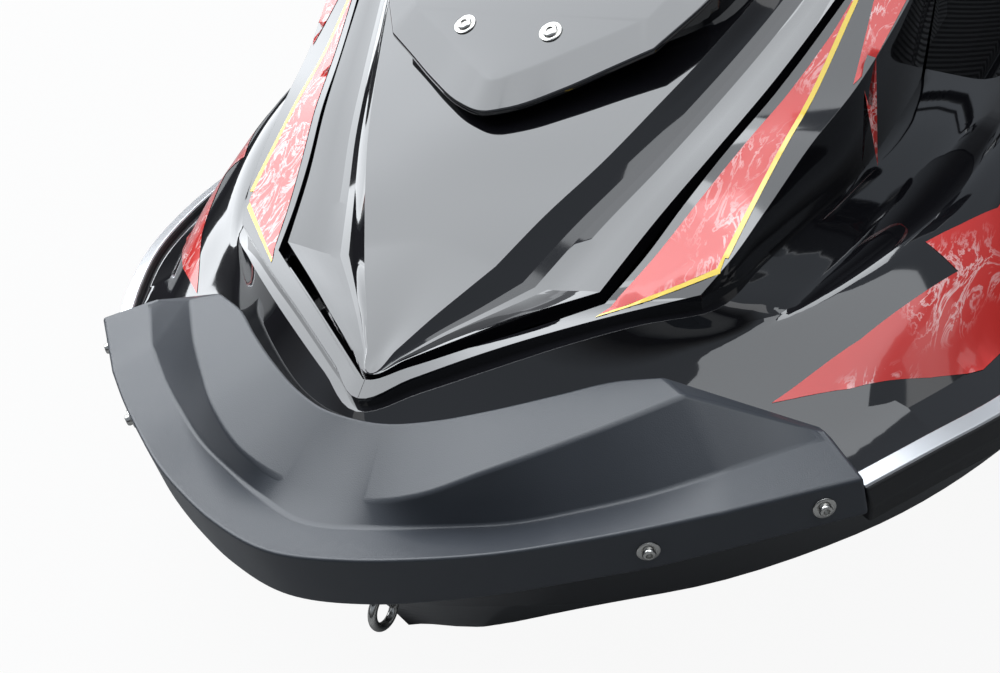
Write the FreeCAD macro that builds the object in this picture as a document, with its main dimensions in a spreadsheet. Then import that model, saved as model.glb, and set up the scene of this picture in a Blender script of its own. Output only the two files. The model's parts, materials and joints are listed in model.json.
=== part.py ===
import FreeCAD, Part
"""Sit-astride personal watercraft: hull, deck, bow bumper, hood, seats, steering and water-jet pump.

Row frame: millimetres, +Z up, the bow points to -Y, port is +X. The origin is on the centre plane
at mid-length, at the height of the still waterline.
"""
import math
import os
from FreeCAD import Placement, Rotation, Vector

doc = FreeCAD.newDocument("watercraft")

# ---------------------------------------------------------------- driving dimensions
SIZES = {
    # whole craft: the lines below are drawn at these two base sizes and follow them
    "length": 3300, "beam": 1206, "draft": 260,
    # joint gap between hull and deck mouldings, and between pieces that seat on each other
    "seam_gap": 0.4, "fit_gap": 1.0, "move_gap": 6,
    # front storage
    "bin_width": 330, "bin_length": 330, "bin_depth": 200, "bin_wall": 4, "bin_y": -935,
    "hood_skin": 16,
    # engine block and its bay
    "engine_width": 380, "engine_length": 560, "engine_height": 360, "engine_y": 60, "engine_z": -180,
    "bay_gap": 12,
    # footwells, each side of the seat pedestal
    "well_inner": 235, "well_width": 195, "well_front": -780, "well_back": 1230, "well_floor": 70,
    "mat_thick": 6, "mat_gap": 8,
    # stern platform
    "platform_y": 1235, "platform_z": 172,
    # water-jet pump on the centre plane
    "pump_z": -140, "tunnel_half": 165, "tunnel_length": 400, "tunnel_top": 40,
    "pump_bore": 78, "pump_wall": 10, "pump_length": 205, "pump_flange": 14,
    "outlet_bore": 46, "outlet_length": 85, "spout_length": 48, "outlet_wall": 7,
    "impeller_gap": 3, "hub_radius": 28, "impeller_length": 80, "shaft_radius": 14, "shaft_gap": 6,
    "nozzle_wall": 6, "nozzle_length": 120, "nozzle_exit": 43, "nozzle_gap": 12,
    "pin_radius": 7,
    "bucket_radius": 122, "bucket_wall": 5, "bucket_half": 84, "bucket_gap": 8,
    "intake_half": 75, "intake_length": 320,
    # boarding step
    "step_half": 195, "step_tube": 12, "step_arm": 188, "step_z": -78, "step_gap": 8,
    # steering
    "bar_y": -455, "bar_z": 705, "bar_rake": 24, "bar_tube": 11, "bar_half": 385, "grip_radius": 17,
    "grip_length": 125,
    # seats
    "seat_half": 178, "seat_front_y": -60, "seat_split_y": 600, "seat_back_y": 1130, "seat_gap": 8,
    # eyes on the stem and transom
    "eye_radius": 19, "eye_wire": 5,
    # glovebox and display
    "display_width": 150,
    "glove_half": 95, "glove_length": 170, "glove_depth": 110, "glove_y": -300, "lid_thick": 14,
}
sizes = doc.addObject("Spreadsheet::Sheet", "sizes")
for row, (alias, number) in enumerate(SIZES.items(), start=1):
    sizes.set(f"A{row}", alias)
    sizes.set(f"B{row}", str(number))
    sizes.setAlias(f"B{row}", alias)
doc.recompute()

BASE_LENGTH = 3300.0
BASE_BEAM = 1206.0


def size(alias):
    """The number that the sheet holds for one alias."""
    return float(getattr(sizes, alias))


def bind(obj, **expressions):
    """Tie properties of an object to the sheet; {name} in an expression is an alias."""
    for prop, text in expressions.items():
        for alias in SIZES:
            text = text.replace("{" + alias + "}", "sizes." + alias)
        obj.setExpression(prop.replace("__", "."), text)
    return obj


def put(obj, x="0", y="0", z="0", rotation=None):
    """Set an object's place by expressions, with a fixed turn if one is given."""
    if rotation is not None:
        obj.Placement = Placement(Vector(), rotation)
    return bind(obj, Placement__Base__x=x, Placement__Base__y=y, Placement__Base__z=z)


ALONG_Y = Rotation(Vector(1, 0, 0), -90)
ALONG_X = Rotation(Vector(0, 1, 0), 90)


def box(name, lx, ly, lz, x, y, z):
    """A box with its low corner at x, y, z."""
    obj = doc.addObject("Part::Box", name)
    bind(obj, Length=lx, Width=ly, Height=lz)
    return put(obj, x, y, z)


def rod(name, radius, height, x="0", y="0", z="0", rotation=None):
    """A cylinder that starts at x, y, z and runs along +Z, or as it is turned."""
    obj = doc.addObject("Part::Cylinder", name)
    bind(obj, Radius=radius, Height=height)
    return put(obj, x, y, z, rotation)


def cone(name, radius1, radius2, height, x="0", y="0", z="0", rotation=None):
    obj = doc.addObject("Part::Cone", name)
    bind(obj, Radius1=radius1, Radius2=radius2, Height=height)
    return put(obj, x, y, z, rotation)


def feature(name, shape):
    obj = doc.addObject("Part::Feature", name)
    obj.Shape = shape
    return obj


def fuse(name, parts):
    obj = doc.addObject("Part::MultiFuse", name)
    obj.Shapes = parts
    return obj


def cut(name, base, tools):
    obj = doc.addObject("Part::Cut", name)
    obj.Base = base
    obj.Tool = tools[0] if len(tools) == 1 else fuse(name + "_tools", tools)
    return obj


# ---------------------------------------------------------------- lines of the craft
def at(x, y, z):
    """A point of the lines plan, drawn at the base sizes, at the craft's own length and beam."""
    return Vector(x * size("beam") / BASE_BEAM, y * size("length") / BASE_LENGTH, z)


def deep(x, y, z):
    """A point below the chine: its depth follows the draft."""
    point = at(x, y, z)
    point.z = z * size("draft") / 260.0
    return point


def spline(points, mirrored=True):
    """A smooth curve through the points, bow first; a mirrored one crosses the centre plane square."""
    if not mirrored:
        steps = [0.0]
        for one, two in zip(points, points[1:]):
            steps.append(steps[-1] + one.distanceToPoint(two))
        curve = Part.BSplineCurve()
        curve.interpolate(Points=points, Parameters=[s / steps[-1] for s in steps])
        return curve.toShape()
    other = [Vector(-p.x, p.y, p.z) for p in reversed(points[1:])]
    both = other + points
    steps = [0.0]
    for one, two in zip(both, both[1:]):
        steps.append(steps[-1] + one.distanceToPoint(two))
    middle = steps[len(other)]
    curve = Part.BSplineCurve()
    curve.interpolate(Points=both, Parameters=[(s - middle) / middle for s in steps])
    curve.segment(0.0, curve.LastParameter)
    return curve.toShape()


def strips(curves, smooth=False):
    """Faces between neighbouring curves: flat rulings, or one smooth sheet through them all."""
    if smooth:
        return Part.makeLoft([Part.Wire(c) for c in curves], False, False).Faces
    return [Part.makeRuledSurface(a, b) for a, b in zip(curves, curves[1:])]


def closed(faces):
    """Sew faces into one solid."""
    shell = Part.makeShell(faces)
    shell.sewShape()
    solid = Part.makeSolid(shell)
    if solid.Volume < 0:
        solid.reverse()
    return solid


def end_cap(faces, where):
    """The flat face that closes a set of faces where the test holds on both ends of an edge."""
    edges = []
    for face in faces:
        for edge in face.Edges:
            if all(where(v.Point) for v in edge.Vertexes) and where(edge.valueAt(
                    (edge.FirstParameter + edge.LastParameter) / 2)):
                edges.append(edge)
    return Part.Face(Part.Wire(Part.__sortEdges__(edges)))


def mirrored(faces):
    return [f.mirror(Vector(), Vector(1, 0, 0)) for f in faces]


def body_of(curves_by_panel):
    """A closed body, symmetric about the centre plane, from its port panels, bow to stern."""
    half = []
    for curves, smooth in curves_by_panel:
        half += strips(curves, smooth)
    faces = half + mirrored(half)
    stern = max(v.Point.y for f in faces for v in f.Vertexes)
    cap = end_cap(faces, lambda p: abs(p.y - stern) < 0.01)
    return closed(faces + [cap])


STERN = 1600
# each line runs from the bow to the transom, through the same stations as the gunwale
KEEL = [(0, -1505, 120), (0, -1480, 95), (0, -1450, 60), (0, -1410, 15), (0, -1365, -30),
        (0, -1300, -80), (0, -1225, -125), (0, -1110, -172), (0, -880, -226), (0, -480, -252),
        (0, 100, -260), (0, 700, -260), (0, 1200, -260), (0, STERN, -260)]
CHINE = [(0, -1530, 190), (119, -1493, 180), (215, -1445, 172), (310, -1378, 165), (380, -1310, 162),
         (440, -1235, 158), (480, -1160, 150), (513, -1060, 132), (540, -880, 85), (560, -480, 0),
         (562, 100, -70), (552, 700, -96), (530, 1200, -106), (505, STERN, -110)]
GUNWALE = [(0, -1612, 330), (150, -1577, 330), (264, -1515, 328), (376, -1437, 326),
           (440, -1378, 324), (500, -1285, 320), (546, -1200, 312), (580, -1085, 300),
           (600, -880, 275), (603, -480, 235), (603, 100, 200), (598, 700, 172),
           (580, 1200, 155), (548, STERN, 150)]
LEDGE = [(0, -1560, 326), (128, -1528, 326), (232, -1470, 324), (335, -1395, 322), (395, -1335, 320),
         (452, -1248, 316), (492, -1172, 308), (528, -1065, 296), (548, -870, 271), (552, -480, 231),
         (552, 100, 196), (546, 700, 168), (528, 1200, 151), (498, STERN, 146)]
TUB = [(0, -1500, 230), (105, -1465, 222), (195, -1405, 205), (280, -1325, 188), (335, -1255, 168),
       (385, -1175, 146), (425, -1095, 122), (455, -1000, 90), (480, -830, 46), (492, -480, 28),
       (494, 100, 20), (490, 700, 18), (472, 1200, 30), (445, STERN, 90)]
TUB_MIDDLE = [(0, -1440, 215), (0, -1390, 205), (0, -1330, 188), (0, -1260, 168), (0, -1190, 146),
              (0, -1110, 122), (0, -1030, 98), (0, -940, 72), (0, -780, 40), (0, -460, 26),
              (0, 100, 18), (0, 700, 16), (0, 1200, 28), (0, STERN, 88)]
FLANGE = [(0, -1568, 343), (138, -1536, 343), (242, -1478, 341), (350, -1402, 338),
          (408, -1345, 335), (466, -1262, 330), (508, -1182, 324), (544, -1075, 313),
          (564, -875, 290), (568, -480, 250), (568, 100, 215), (562, 700, 187),
          (544, 1200, 172), (514, STERN, 168)]
SHOULDER = [(0, -1537, 357), (125, -1503, 357), (218, -1446, 356), (315, -1366, 356),
            (368, -1304, 362), (424, -1225, 378), (466, -1148, 380), (505, -1045, 375),
            (530, -860, 362), (538, -470, 330), (540, 100, 295), (532, 700, 258),
            (512, 1200, 195), (486, STERN, 174)]
CREST = [(0, -1512, 370), (104, -1478, 371), (186, -1424, 373), (270, -1350, 377), (325, -1282, 388),
         (382, -1198, 402), (425, -1115, 410), (462, -1012, 416), (492, -835, 420), (505, -465, 388),
         (508, 100, 345), (500, 700, 300), (480, 1200, 215), (455, STERN, 180)]
DIP = [(0, -1487, 383), (82, -1462, 387), (158, -1418, 391), (234, -1358, 395), (288, -1298, 399),
       (342, -1232, 401), (372, -1150, 400), (398, -1045, 402), (420, -865, 412), (432, -472, 395),
       (440, 100, 355), (436, 700, 315), (425, 1200, 235), (415, STERN, 200)]
FOOT = [(0, -1474, 398), (60, -1441, 409), (118, -1406, 421), (185, -1363, 433), (245, -1320, 437),
        (300, -1272, 430), (314, -1190, 426), (332, -1080, 424), (343, -900, 426), (330, -480, 405),
        (345, 100, 360), (352, 700, 330), (352, 1200, 290), (352, STERN, 270)]
MIDDLE = [(0, -1440, 402), (0, -1390, 406), (0, -1340, 410), (0, -1280, 412), (0, -1220, 412),
          (0, -1150, 412), (0, -1060, 412), (0, -960, 412), (0, -780, 412), (0, -430, 408),
          (0, 100, 400), (0, 700, 385), (0, 1200, 370), (0, STERN, 360)]


def line(points, mirror=True, place=at, lower=0.0):
    return spline([place(*p) - Vector(0, 0, lower) for p in points], mirror)


seam = size("seam_gap")
UNDERBODY = ([line(KEEL, False, deep), line(CHINE, True, deep), line(GUNWALE, lower=seam)], False)
TUB_LINES = [line(GUNWALE, lower=seam), line(LEDGE, lower=seam), line(TUB, lower=seam),
             line(TUB_MIDDLE, False, lower=seam)]
FENDER = [
    ([line(GUNWALE), line(FLANGE)], False),
    ([line(FLANGE), line(SHOULDER), line(CREST), line(DIP), line(FOOT)], True),
    ([line(FOOT), line(MIDDLE, False)], False),
]
hull_lines = feature("hull_lines", body_of([UNDERBODY, (TUB_LINES, False)]))
deck_lines = feature("deck_lines", body_of(
    [([line(GUNWALE), line(LEDGE), line(TUB), line(TUB_MIDDLE, False)], False)] + FENDER))
outside = [([line(KEEL, False, deep), line(CHINE, True, deep), line(GUNWALE)], False)] + FENDER
# the whole outer form, which everything seated on the craft is trimmed to
craft_form = feature("craft_form", body_of(outside))


def loop_body(curves, close_start=True, close_end=True):
    """A closed body from a ring of curves; each curve is a list of edges that meet at kinks."""
    faces = []
    for one, two in zip(curves, curves[1:] + curves[:1]):
        faces += [Part.makeRuledSurface(a, b) for a, b in zip(one, two)]
    for wanted, pick in ((close_start, 0), (close_end, -1)):
        if wanted:
            ring = [curve[pick].Vertexes[pick].Point for curve in curves]
            faces.append(Part.Face(Part.makePolygon(ring + ring[:1])))
    return faces


def open_line(points, place=at):
    """A smooth curve, or a straight one where there are two points."""
    spots = [place(*p) for p in points]
    if len(spots) == 2:
        return Part.makeLine(*spots)
    return spline(spots, mirrored=False)


def kinked(points, kinks):
    """Edges of a line that is smooth between its kinks, given as places in the list."""
    stops = [0] + kinks + [len(points) - 1]
    return [open_line(points[i:j + 1]) for i, j in zip(stops, stops[1:])]


def port_and_starboard(name, faces):
    """The same closed body on both sides."""
    solid = closed(faces)
    return (feature(name + "_port_form", solid),
            feature(name + "_starboard_form", solid.mirror(Vector(), Vector(1, 0, 0))))


# ---------------------------------------------------------------- front: bumper
def aft_end(x, z):
    """A point of the upright plane, square to the gunwale, where the bumper stops."""
    return (x, -1370 - 0.89 * (x - 475), z)


RIM_TOP = [(0, -1640, 366), (83, -1624, 365), (145, -1600, 363), (205, -1571, 361),
           (264, -1535, 359), (320, -1498, 358), (376, -1457, 356), aft_end(475, 348)]
RIM_FOOT = [(0, -1636, 300), (83, -1620, 300), (144, -1597, 302), (204, -1568, 304),
            (262, -1533, 305), (318, -1497, 305), (374, -1456, 306), aft_end(478, 306)]
RIM_VALLEY = [(0, -1585, 350), (70, -1568, 348), (135, -1541, 344), (195, -1514, 342),
              (250, -1482, 345), (300, -1450, 349), (355, -1408, 355), aft_end(430, 352)]
SHELF_EDGE = [(0, -1550, 358), (52, -1550, 362), (108, -1540, 376), (165, -1508, 392),
              (215, -1465, 398), (258, -1424, 402), (308, -1369, 405), aft_end(422, 350)]
SHELF_BACK = [(0, -1478, 394), (40, -1476, 396), (84, -1461, 398), (135, -1434, 401),
              (188, -1400, 404), (235, -1367, 405), (276, -1350, 405), aft_end(414, 347)]
SHELF_UNDER = [(0, -1478, 350), (40, -1476, 350), (84, -1461, 350), (135, -1434, 350),
               (188, -1400, 350), (235, -1367, 350), (276, -1350, 350), aft_end(414, 316)]
RIM_INSIDE = [(0, -1580, 300), (75, -1566, 300), (130, -1545, 302), (185, -1518, 304),
              (240, -1486, 305), (293, -1452, 305), (346, -1413, 306), aft_end(440, 306)]
ring = [kinked(points, [6]) for points in
        (RIM_TOP, RIM_VALLEY, SHELF_EDGE, SHELF_BACK, SHELF_UNDER, RIM_INSIDE, RIM_FOOT)]
half = loop_body(ring, close_start=False)
bumper_form = feature("bumper_form", closed(half + mirrored(half)))
bow_bumper = cut("bow_bumper", bumper_form, [craft_form, hull_lines])

KY = "*{length}/3300"
KX = "*{beam}/1206"
STERN_Y = "1600" + KY


def raised(points, by):
    return [(x, y, z + by) for x, y, z in points]


def prism(name, outline, low, high):
    """An upright prism over a plan outline."""
    ring = [at(x, y, low) for x, y in outline]
    face = Part.Face(Part.makePolygon(ring + ring[:1]))
    return feature(name, face.extrude(Vector(0, 0, high - low)))


def frames(name, sections):
    """A body through flat cross sections; each is (y, [port half outline]) from bottom to top."""
    wires = []
    for y, half in sections:
        ring = [at(x, y, z) for x, z in half] + [at(-x, y, z) for x, z in reversed(half)]
        wires.append(Part.makePolygon(ring + ring[:1]))
    return feature(name, Part.makeLoft(wires, True, True))


# ---------------------------------------------------------------- front: fairing strips and hood
FAIRING_IN = [(0, -1449, 419), (39, -1427, 425), (98, -1385, 433), (147, -1352, 440),
              (206, -1312, 449), (224, -1250, 465), (242, -1190, 487), (263, -1124, 512),
              (285, -1047, 534), (308, -963, 564), (330, -880, 598), (345, -800, 632)]
FAIRING_OUT = [(0, -1467, 409), (47, -1437, 420), (113, -1394, 434), (207, -1333, 446),
               (288, -1274, 447), (305, -1231, 464), (318, -1176, 483), (334, -1095, 508),
               (353, -1010, 528), (368, -940, 556), (380, -870, 588), (386, -800, 618)]
FAIRING_FOOT = [(0, -1464, 370), (45, -1434, 370), (110, -1391, 370), (204, -1330, 370),
                (284, -1272, 370), (300, -1231, 370), (312, -1178, 370), (330, -1097, 370),
                (345, -1010, 370), (345, -940, 370), (342, -870, 370), (338, -800, 370)]
FAIRING_UNDER = [(x, y, 370) for x, y, z in FAIRING_IN]
fairing_forms = port_and_starboard("fairing", loop_body(
    [kinked(points, [4]) for points in (FAIRING_IN, FAIRING_OUT, FAIRING_FOOT, FAIRING_UNDER)]))
fairing_port = cut("fairing_port", fairing_forms[0], [craft_form])
fairing_starboard = cut("fairing_starboard", fairing_forms[1], [craft_form])

HOOD_EDGE = [(0, -1441, 419), (33, -1420, 428), (77, -1389, 438), (123, -1355, 447),
             (193, -1303, 455), (216, -1216, 484), (244, -1128, 515), (271, -1038, 543),
             (292, -960, 570), (311, -880, 600), (326, -808, 628)]
HOOD_CREASE = [(0, -1440, 420), (18, -1412, 430), (40, -1375, 443), (60, -1344, 453),
               (82, -1307, 465), (112, -1250, 491), (148, -1180, 516), (178, -1110, 541),
               (208, -1035, 567), (236, -955, 596), (258, -808, 642)]
HOOD_MIDDLE = [(0, -1438, 421), (0, -1405, 432), (0, -1370, 446), (0, -1332, 461), (0, -1292, 477),
               (0, -1235, 502), (0, -1165, 533), (0, -1095, 558), (0, -1015, 588), (0, -925, 618),
               (0, -808, 660)]


def crowned_body(rows, kinks):
    """A body, symmetric about the centre plane, from a half ring of lines that ends flat at the back."""
    lines = [kinked(points, kinks) for points in rows]
    side = []
    for one, two in zip(lines, lines[1:]):
        side += [Part.makeRuledSurface(a, b) for a, b in zip(one, two)]
    faces = side + mirrored(side)
    back = at(*rows[0][-1]).y
    return closed(faces + [end_cap(faces, lambda p: abs(p.y - back) < 0.01)])


def hood_body(thickness):
    """The hood's top sheet with a wall of this thickness under it."""
    top = [HOOD_MIDDLE, HOOD_CREASE, HOOD_EDGE]
    return crowned_body(top + [raised(points, -thickness) for points in reversed(top)], [4])


hood = feature("hood", hood_body(size("hood_skin")))
hood_mass = feature("hood_mass", hood_body(150))

# the cowl: a low nose with a bevelled lip; the air slot runs in under the lip to the throat
COWL_MIDDLE = [(0, -1130, 577), (0, -1112, 584), (0, -1090, 593), (0, -1068, 602), (0, -1045, 612),
               (0, -1000, 631), (0, -930, 662), (0, -860, 692), (0, -812, 712)]
COWL_FACET = [(0, -1132, 576), (24, -1120, 580), (74, -1088, 591), (118, -1060, 602),
              (148, -1040, 610), (172, -990, 632), (190, -925, 662), (202, -860, 690), (208, -812, 706)]
COWL_LIP = [(0, -1163, 556), (30, -1155, 558), (82, -1126, 568), (126, -1097, 580), (165, -1072, 591),
            (204, -1010, 618), (230, -935, 650), (246, -865, 676), (254, -812, 692)]
COWL_LIP_UNDER = raised(COWL_LIP, -6)
COWL_THROAT = [(0, -1095, 566), (24, -1088, 568), (66, -1062, 576), (106, -1040, 586),
               (150, -1035, 592), (196, -1000, 610), (224, -928, 642), (240, -860, 668), (248, -812, 684)]
COWL_ROOT = [(x, y, z - 90) for x, y, z in COWL_THROAT]
COWL_ROOT_MIDDLE = [(0, -1085, 476), (0, -1075, 478), (0, -1050, 486), (0, -1030, 496), (0, -1025, 502),
                    (0, -990, 520), (0, -920, 552), (0, -855, 578), (0, -812, 594)]
cowl_form = feature("cowl_form", crowned_body(
    [COWL_MIDDLE, COWL_FACET, COWL_LIP, COWL_LIP_UNDER, COWL_THROAT, COWL_ROOT, COWL_ROOT_MIDDLE], [4]))
hood_cowl = cut("hood_cowl", cowl_form, [hood_mass])

# ---------------------------------------------------------------- console, dash and glovebox
console_form = frames("console_form", [
    (-800, [(336, 380), (345, 520), (352, 625), (310, 655)]),
    (-640, [(326, 380), (330, 540), (300, 650), (240, 690)]),
    (-480, [(285, 380), (270, 560), (230, 650), (190, 680)]),
    (-330, [(225, 380), (200, 520), (170, 570), (135, 592)]),
    (-70, [(200, 380), (180, 470), (160, 505), (120, 520)])])
glove_pocket = box("glove_pocket", "2*{glove_half}", "{glove_length}", "400",
                   "-{glove_half}", "{glove_y}" + KY, "560-{glove_depth}")
console = cut("console", console_form, [craft_form, glove_pocket])
LID_SLOPE = math.degrees(math.atan2(592 - 520, (330 - 70) * size("length") / BASE_LENGTH))
glovebox_lid = box("glovebox_lid", "2*{glove_half}+24", "{glove_length}+20", "{lid_thick}", "0", "0", "0")
put(glovebox_lid, "-{glove_half}-12", "{glove_y}" + KY + "-10", "589", Rotation(Vector(1, 0, 0), -LID_SLOPE))
dash_form = frames("dash_form", [(-770, [(190, 662), (176, 742)]), (-640, [(210, 690.2), (180, 722)]),
                       (-600, [(200, 690.2), (170, 700)])])
display = box("display", "{display_width}", "90", "6", "0", "0", "0")
put(display, "-{display_width}/2", "-738" + KY, "738", Rotation(Vector(1, 0, 0), -11))
dash = cut("dash", dash_form, [display])

# ---------------------------------------------------------------- front storage bin
bin_low = "(400-{bin_depth})"
bin_outer = box("bin_outer", "{bin_width}", "{bin_length}", "{bin_depth}",
                "-{bin_width}/2", "{bin_y}" + KY + "-{bin_length}/2", bin_low)
bin_inner = box("bin_inner", "{bin_width}-2*{bin_wall}", "{bin_length}-2*{bin_wall}", "{bin_depth}+50",
                "-{bin_width}/2+{bin_wall}", "{bin_y}" + KY + "-{bin_length}/2+{bin_wall}",
                bin_low + "+{bin_wall}")
storage_bin = cut("storage_bin", bin_outer, [bin_inner])
bin_pocket = box("bin_pocket", "{bin_width}+2*{fit_gap}", "{bin_length}+2*{fit_gap}", "400",
                 "-{bin_width}/2-{fit_gap}", "{bin_y}" + KY + "-{bin_length}/2-{fit_gap}", bin_low)
hood_well = prism("hood_well", [(0, -1446), (200, -1310), (325, -880), (325, -802),
                                (-325, -802), (-325, -880), (-200, -1310)], 396, 700)

# ---------------------------------------------------------------- engine, footwells, platform
bay = [box(name, "{engine_width}+2*{bay_gap}", "{engine_length}+2*{bay_gap}", "{engine_height}+{bay_gap}",
           "-{engine_width}/2-{bay_gap}", "{engine_y}" + KY + "-{bay_gap}", "{engine_z}")
       for name in ("bay_in_hull", "bay_in_deck")]
engine = box("engine", "{engine_width}", "{engine_length}", "{engine_height}",
             "-{engine_width}/2", "{engine_y}" + KY, "{engine_z}")
wells = []
mats = {}
for side, low in (("port", "{well_inner}"), ("starboard", "-{well_inner}-{well_width}")):
    wells.append(box("well_" + side, "{well_width}", "({well_back}-({well_front}))" + KY, "600",
                     low, "{well_front}" + KY, "{well_floor}"))
    mats[side] = box("mat_" + side, "{well_width}-2*{mat_gap}",
                     "({well_back}-({well_front}))" + KY + "-2*{mat_gap}", "{mat_thick}",
                     low + "+{mat_gap}", "{well_front}" + KY + "+{mat_gap}", "{well_floor}")
platform = box("platform_cut", "1400", "600" + KY, "600", "-700", "{platform_y}" + KY, "{platform_z}")
mat_stern = box("mat_stern", "760" + KX, "(1600-{platform_y})" + KY + "-2*{mat_gap}", "{mat_thick}",
                "-380" + KX, "{platform_y}" + KY + "+{mat_gap}", "{platform_z}")
deck = cut("deck", deck_lines, [hood_well, bin_pocket, bay[1], platform] + wells)

# ---------------------------------------------------------------- hull with its jet tunnel
tunnel_y = "(" + STERN_Y + "-{tunnel_length})"
tunnel = box("tunnel", "2*{tunnel_half}", "{tunnel_length}+50", "{tunnel_top}+400",
             "-{tunnel_half}", tunnel_y, "-400")
intake = doc.addObject("Part::Wedge", "intake_duct")
bind(intake, Xmin="-{intake_half}", Xmax="{intake_half}", X2min="-{intake_half}", X2max="{intake_half}",
     Ymin="0", Ymax="{intake_length}+1", Zmin="-400", Zmax="-{draft}-2", Z2min="-400",
     Z2max="{pump_z}+{pump_bore}")
put(intake, "0", tunnel_y + "-{intake_length}", "0")
shaft_hole = rod("shaft_hole", "{shaft_radius}+{shaft_gap}", "900" + KY,
                 z="{pump_z}", y="({engine_y}+400)" + KY, rotation=ALONG_Y)
hull = cut("hull", hull_lines, [bay[0], tunnel, intake, shaft_hole])

# ---------------------------------------------------------------- water-jet pump
outlet_y = tunnel_y + "+{pump_length}"
outlet_end = outlet_y + "+{outlet_length}"
pump_outside = fuse("pump_outside", [
    rod("pump_barrel", "{pump_bore}+{pump_wall}", "{pump_length}", y=tunnel_y, z="{pump_z}",
        rotation=ALONG_Y),
    rod("pump_flange_disc", "{pump_bore}+32", "{pump_flange}", y=tunnel_y, z="{pump_z}", rotation=ALONG_Y),
    cone("outlet_outside", "{pump_bore}+{pump_wall}", "{outlet_bore}+{outlet_wall}",
         "{outlet_length}-{spout_length}", y=outlet_y, z="{pump_z}", rotation=ALONG_Y),
    rod("spout", "{outlet_bore}+{outlet_wall}", "{spout_length}", y=outlet_end + "-{spout_length}",
        z="{pump_z}", rotation=ALONG_Y)])
pump_inside = fuse("pump_inside", [
    rod("pump_hole", "{pump_bore}", "{pump_length}+1", y=tunnel_y + "-1", z="{pump_z}", rotation=ALONG_Y),
    cone("outlet_inside", "{pump_bore}", "{outlet_bore}", "{outlet_length}-{spout_length}",
         y=outlet_y, z="{pump_z}", rotation=ALONG_Y),
    rod("spout_hole", "{outlet_bore}", "{spout_length}+1", y=outlet_end + "-{spout_length}",
        z="{pump_z}", rotation=ALONG_Y)])
stator_y = tunnel_y + "+{pump_flange}+{impeller_length}+20"
vanes = [box("vane_1", "2*{pump_bore}+4", "90", "5", "-{pump_bore}-2", stator_y + "+4", "{pump_z}-2.5"),
         box("vane_2", "5", "90", "2*{pump_bore}+4", "-2.5", stator_y + "+4", "{pump_z}-{pump_bore}-2")]
stator_hub = rod("stator_hub", "{hub_radius}", "100", y=stator_y, z="{pump_z}", rotation=ALONG_Y)
pivot_y = outlet_end + "-12"
steer_pins = cut("steer_pins", rod("steer_pin_rod", "{pin_radius}", "2*{outlet_bore}+56", y=pivot_y,
                                   z="{pump_z}-{outlet_bore}-28"),
                 [rod("pin_clear", "{outlet_bore}+1", "50", y=outlet_end + "-50", z="{pump_z}",
                      rotation=ALONG_Y)])
pump_housing = fuse("pump_housing", [cut("pump_tube", pump_outside, [pump_inside]), stator_hub]
                    + vanes + [steer_pins])

impeller_y = tunnel_y + "+{pump_flange}"
turn = math.radians(55)


def impeller_blade(index):
    """One twisted blade, from inside the hub to near the bore."""
    reach = size("pump_bore") - size("impeller_gap")
    length = size("impeller_length") - 8
    wires = []
    for step in range(5):
        angle = 2 * math.pi * index / 4 + turn * step / 4
        out = Vector(math.cos(angle), 0, math.sin(angle))
        side = Vector(-math.sin(angle), 0, math.cos(angle)) * 2.2
        root = out * (size("hub_radius") - 6)
        tip = out * (reach - 0.3)
        ring = [root - side, tip - side, tip + side, root + side]
        ring = [p + Vector(0, length * step / 4, 0) for p in ring]
        wires.append(Part.makePolygon(ring + ring[:1]))
    return Part.makeLoft(wires, True, True)


blades = []
for index in range(4):
    blade = feature(f"blade_{index + 1}", impeller_blade(index))
    blades.append(put(blade, "0", impeller_y + "+4", "{pump_z}"))
impeller = fuse("impeller", [rod("impeller_hub", "{hub_radius}", "{impeller_length}", y=impeller_y,
                                 z="{pump_z}", rotation=ALONG_Y)] + blades)
shaft_start = "(({engine_y})" + KY + "+{engine_length}+4)"
drive_shaft = rod("drive_shaft", "{shaft_radius}", impeller_y + "-" + shaft_start,
                  y=shaft_start, z="{pump_z}", rotation=ALONG_Y)

front_radius = "({outlet_bore}+{outlet_wall}+{nozzle_gap})"
nozzle_y = outlet_end + "-22"
nozzle_shell = cut("nozzle_shell", cone("nozzle_outside", front_radius + "+{nozzle_wall}",
                                        "{nozzle_exit}+{nozzle_wall}", "{nozzle_length}",
                                        y=nozzle_y, z="{pump_z}", rotation=ALONG_Y),
                   [cone("nozzle_inside", front_radius, "{nozzle_exit}", "{nozzle_length}",
                         y=nozzle_y, z="{pump_z}", rotation=ALONG_Y)])
bucket_y = outlet_end + "+15"
bucket_pins = cut("bucket_pins", rod("bucket_pin_rod", "{pin_radius}", "2*{bucket_half}+16",
                                     "-{bucket_half}-8", bucket_y, "{pump_z}", ALONG_X),
                  [rod("bucket_pin_clear", "{outlet_bore}+{nozzle_gap}+1", "80", y=outlet_end + "-20",
                       z="{pump_z}", rotation=ALONG_Y)])
steer_hole = rod("steer_hole", "{pin_radius}+0.06", "300", y=pivot_y, z="{pump_z}-150")
steering_nozzle = fuse("steering_nozzle", [cut("nozzle_bored", nozzle_shell, [steer_hole]), bucket_pins])

BUCKET_START = 35
BUCKET_SWEEP = 83


def bucket_sector(name, radius, half, sweep, start):
    """A slice of a cylinder about the bucket's pivot, from an angle above the aft direction."""
    obj = rod(name, radius, "2*(" + half + ")")
    obj.Angle = sweep
    turned = Rotation(Vector(1, 0, 0), start).multiply(Rotation(Vector(0, 0, 1), Vector(1, 0, 0)))
    aim = turned.multVec(Vector(1, 0, 0))
    lift = math.degrees(math.atan2(aim.z, aim.y))
    turned = Rotation(Vector(1, 0, 0), start - lift).multiply(turned)
    return put(obj, "-(" + half + ")", bucket_y, "{pump_z}", turned)


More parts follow.
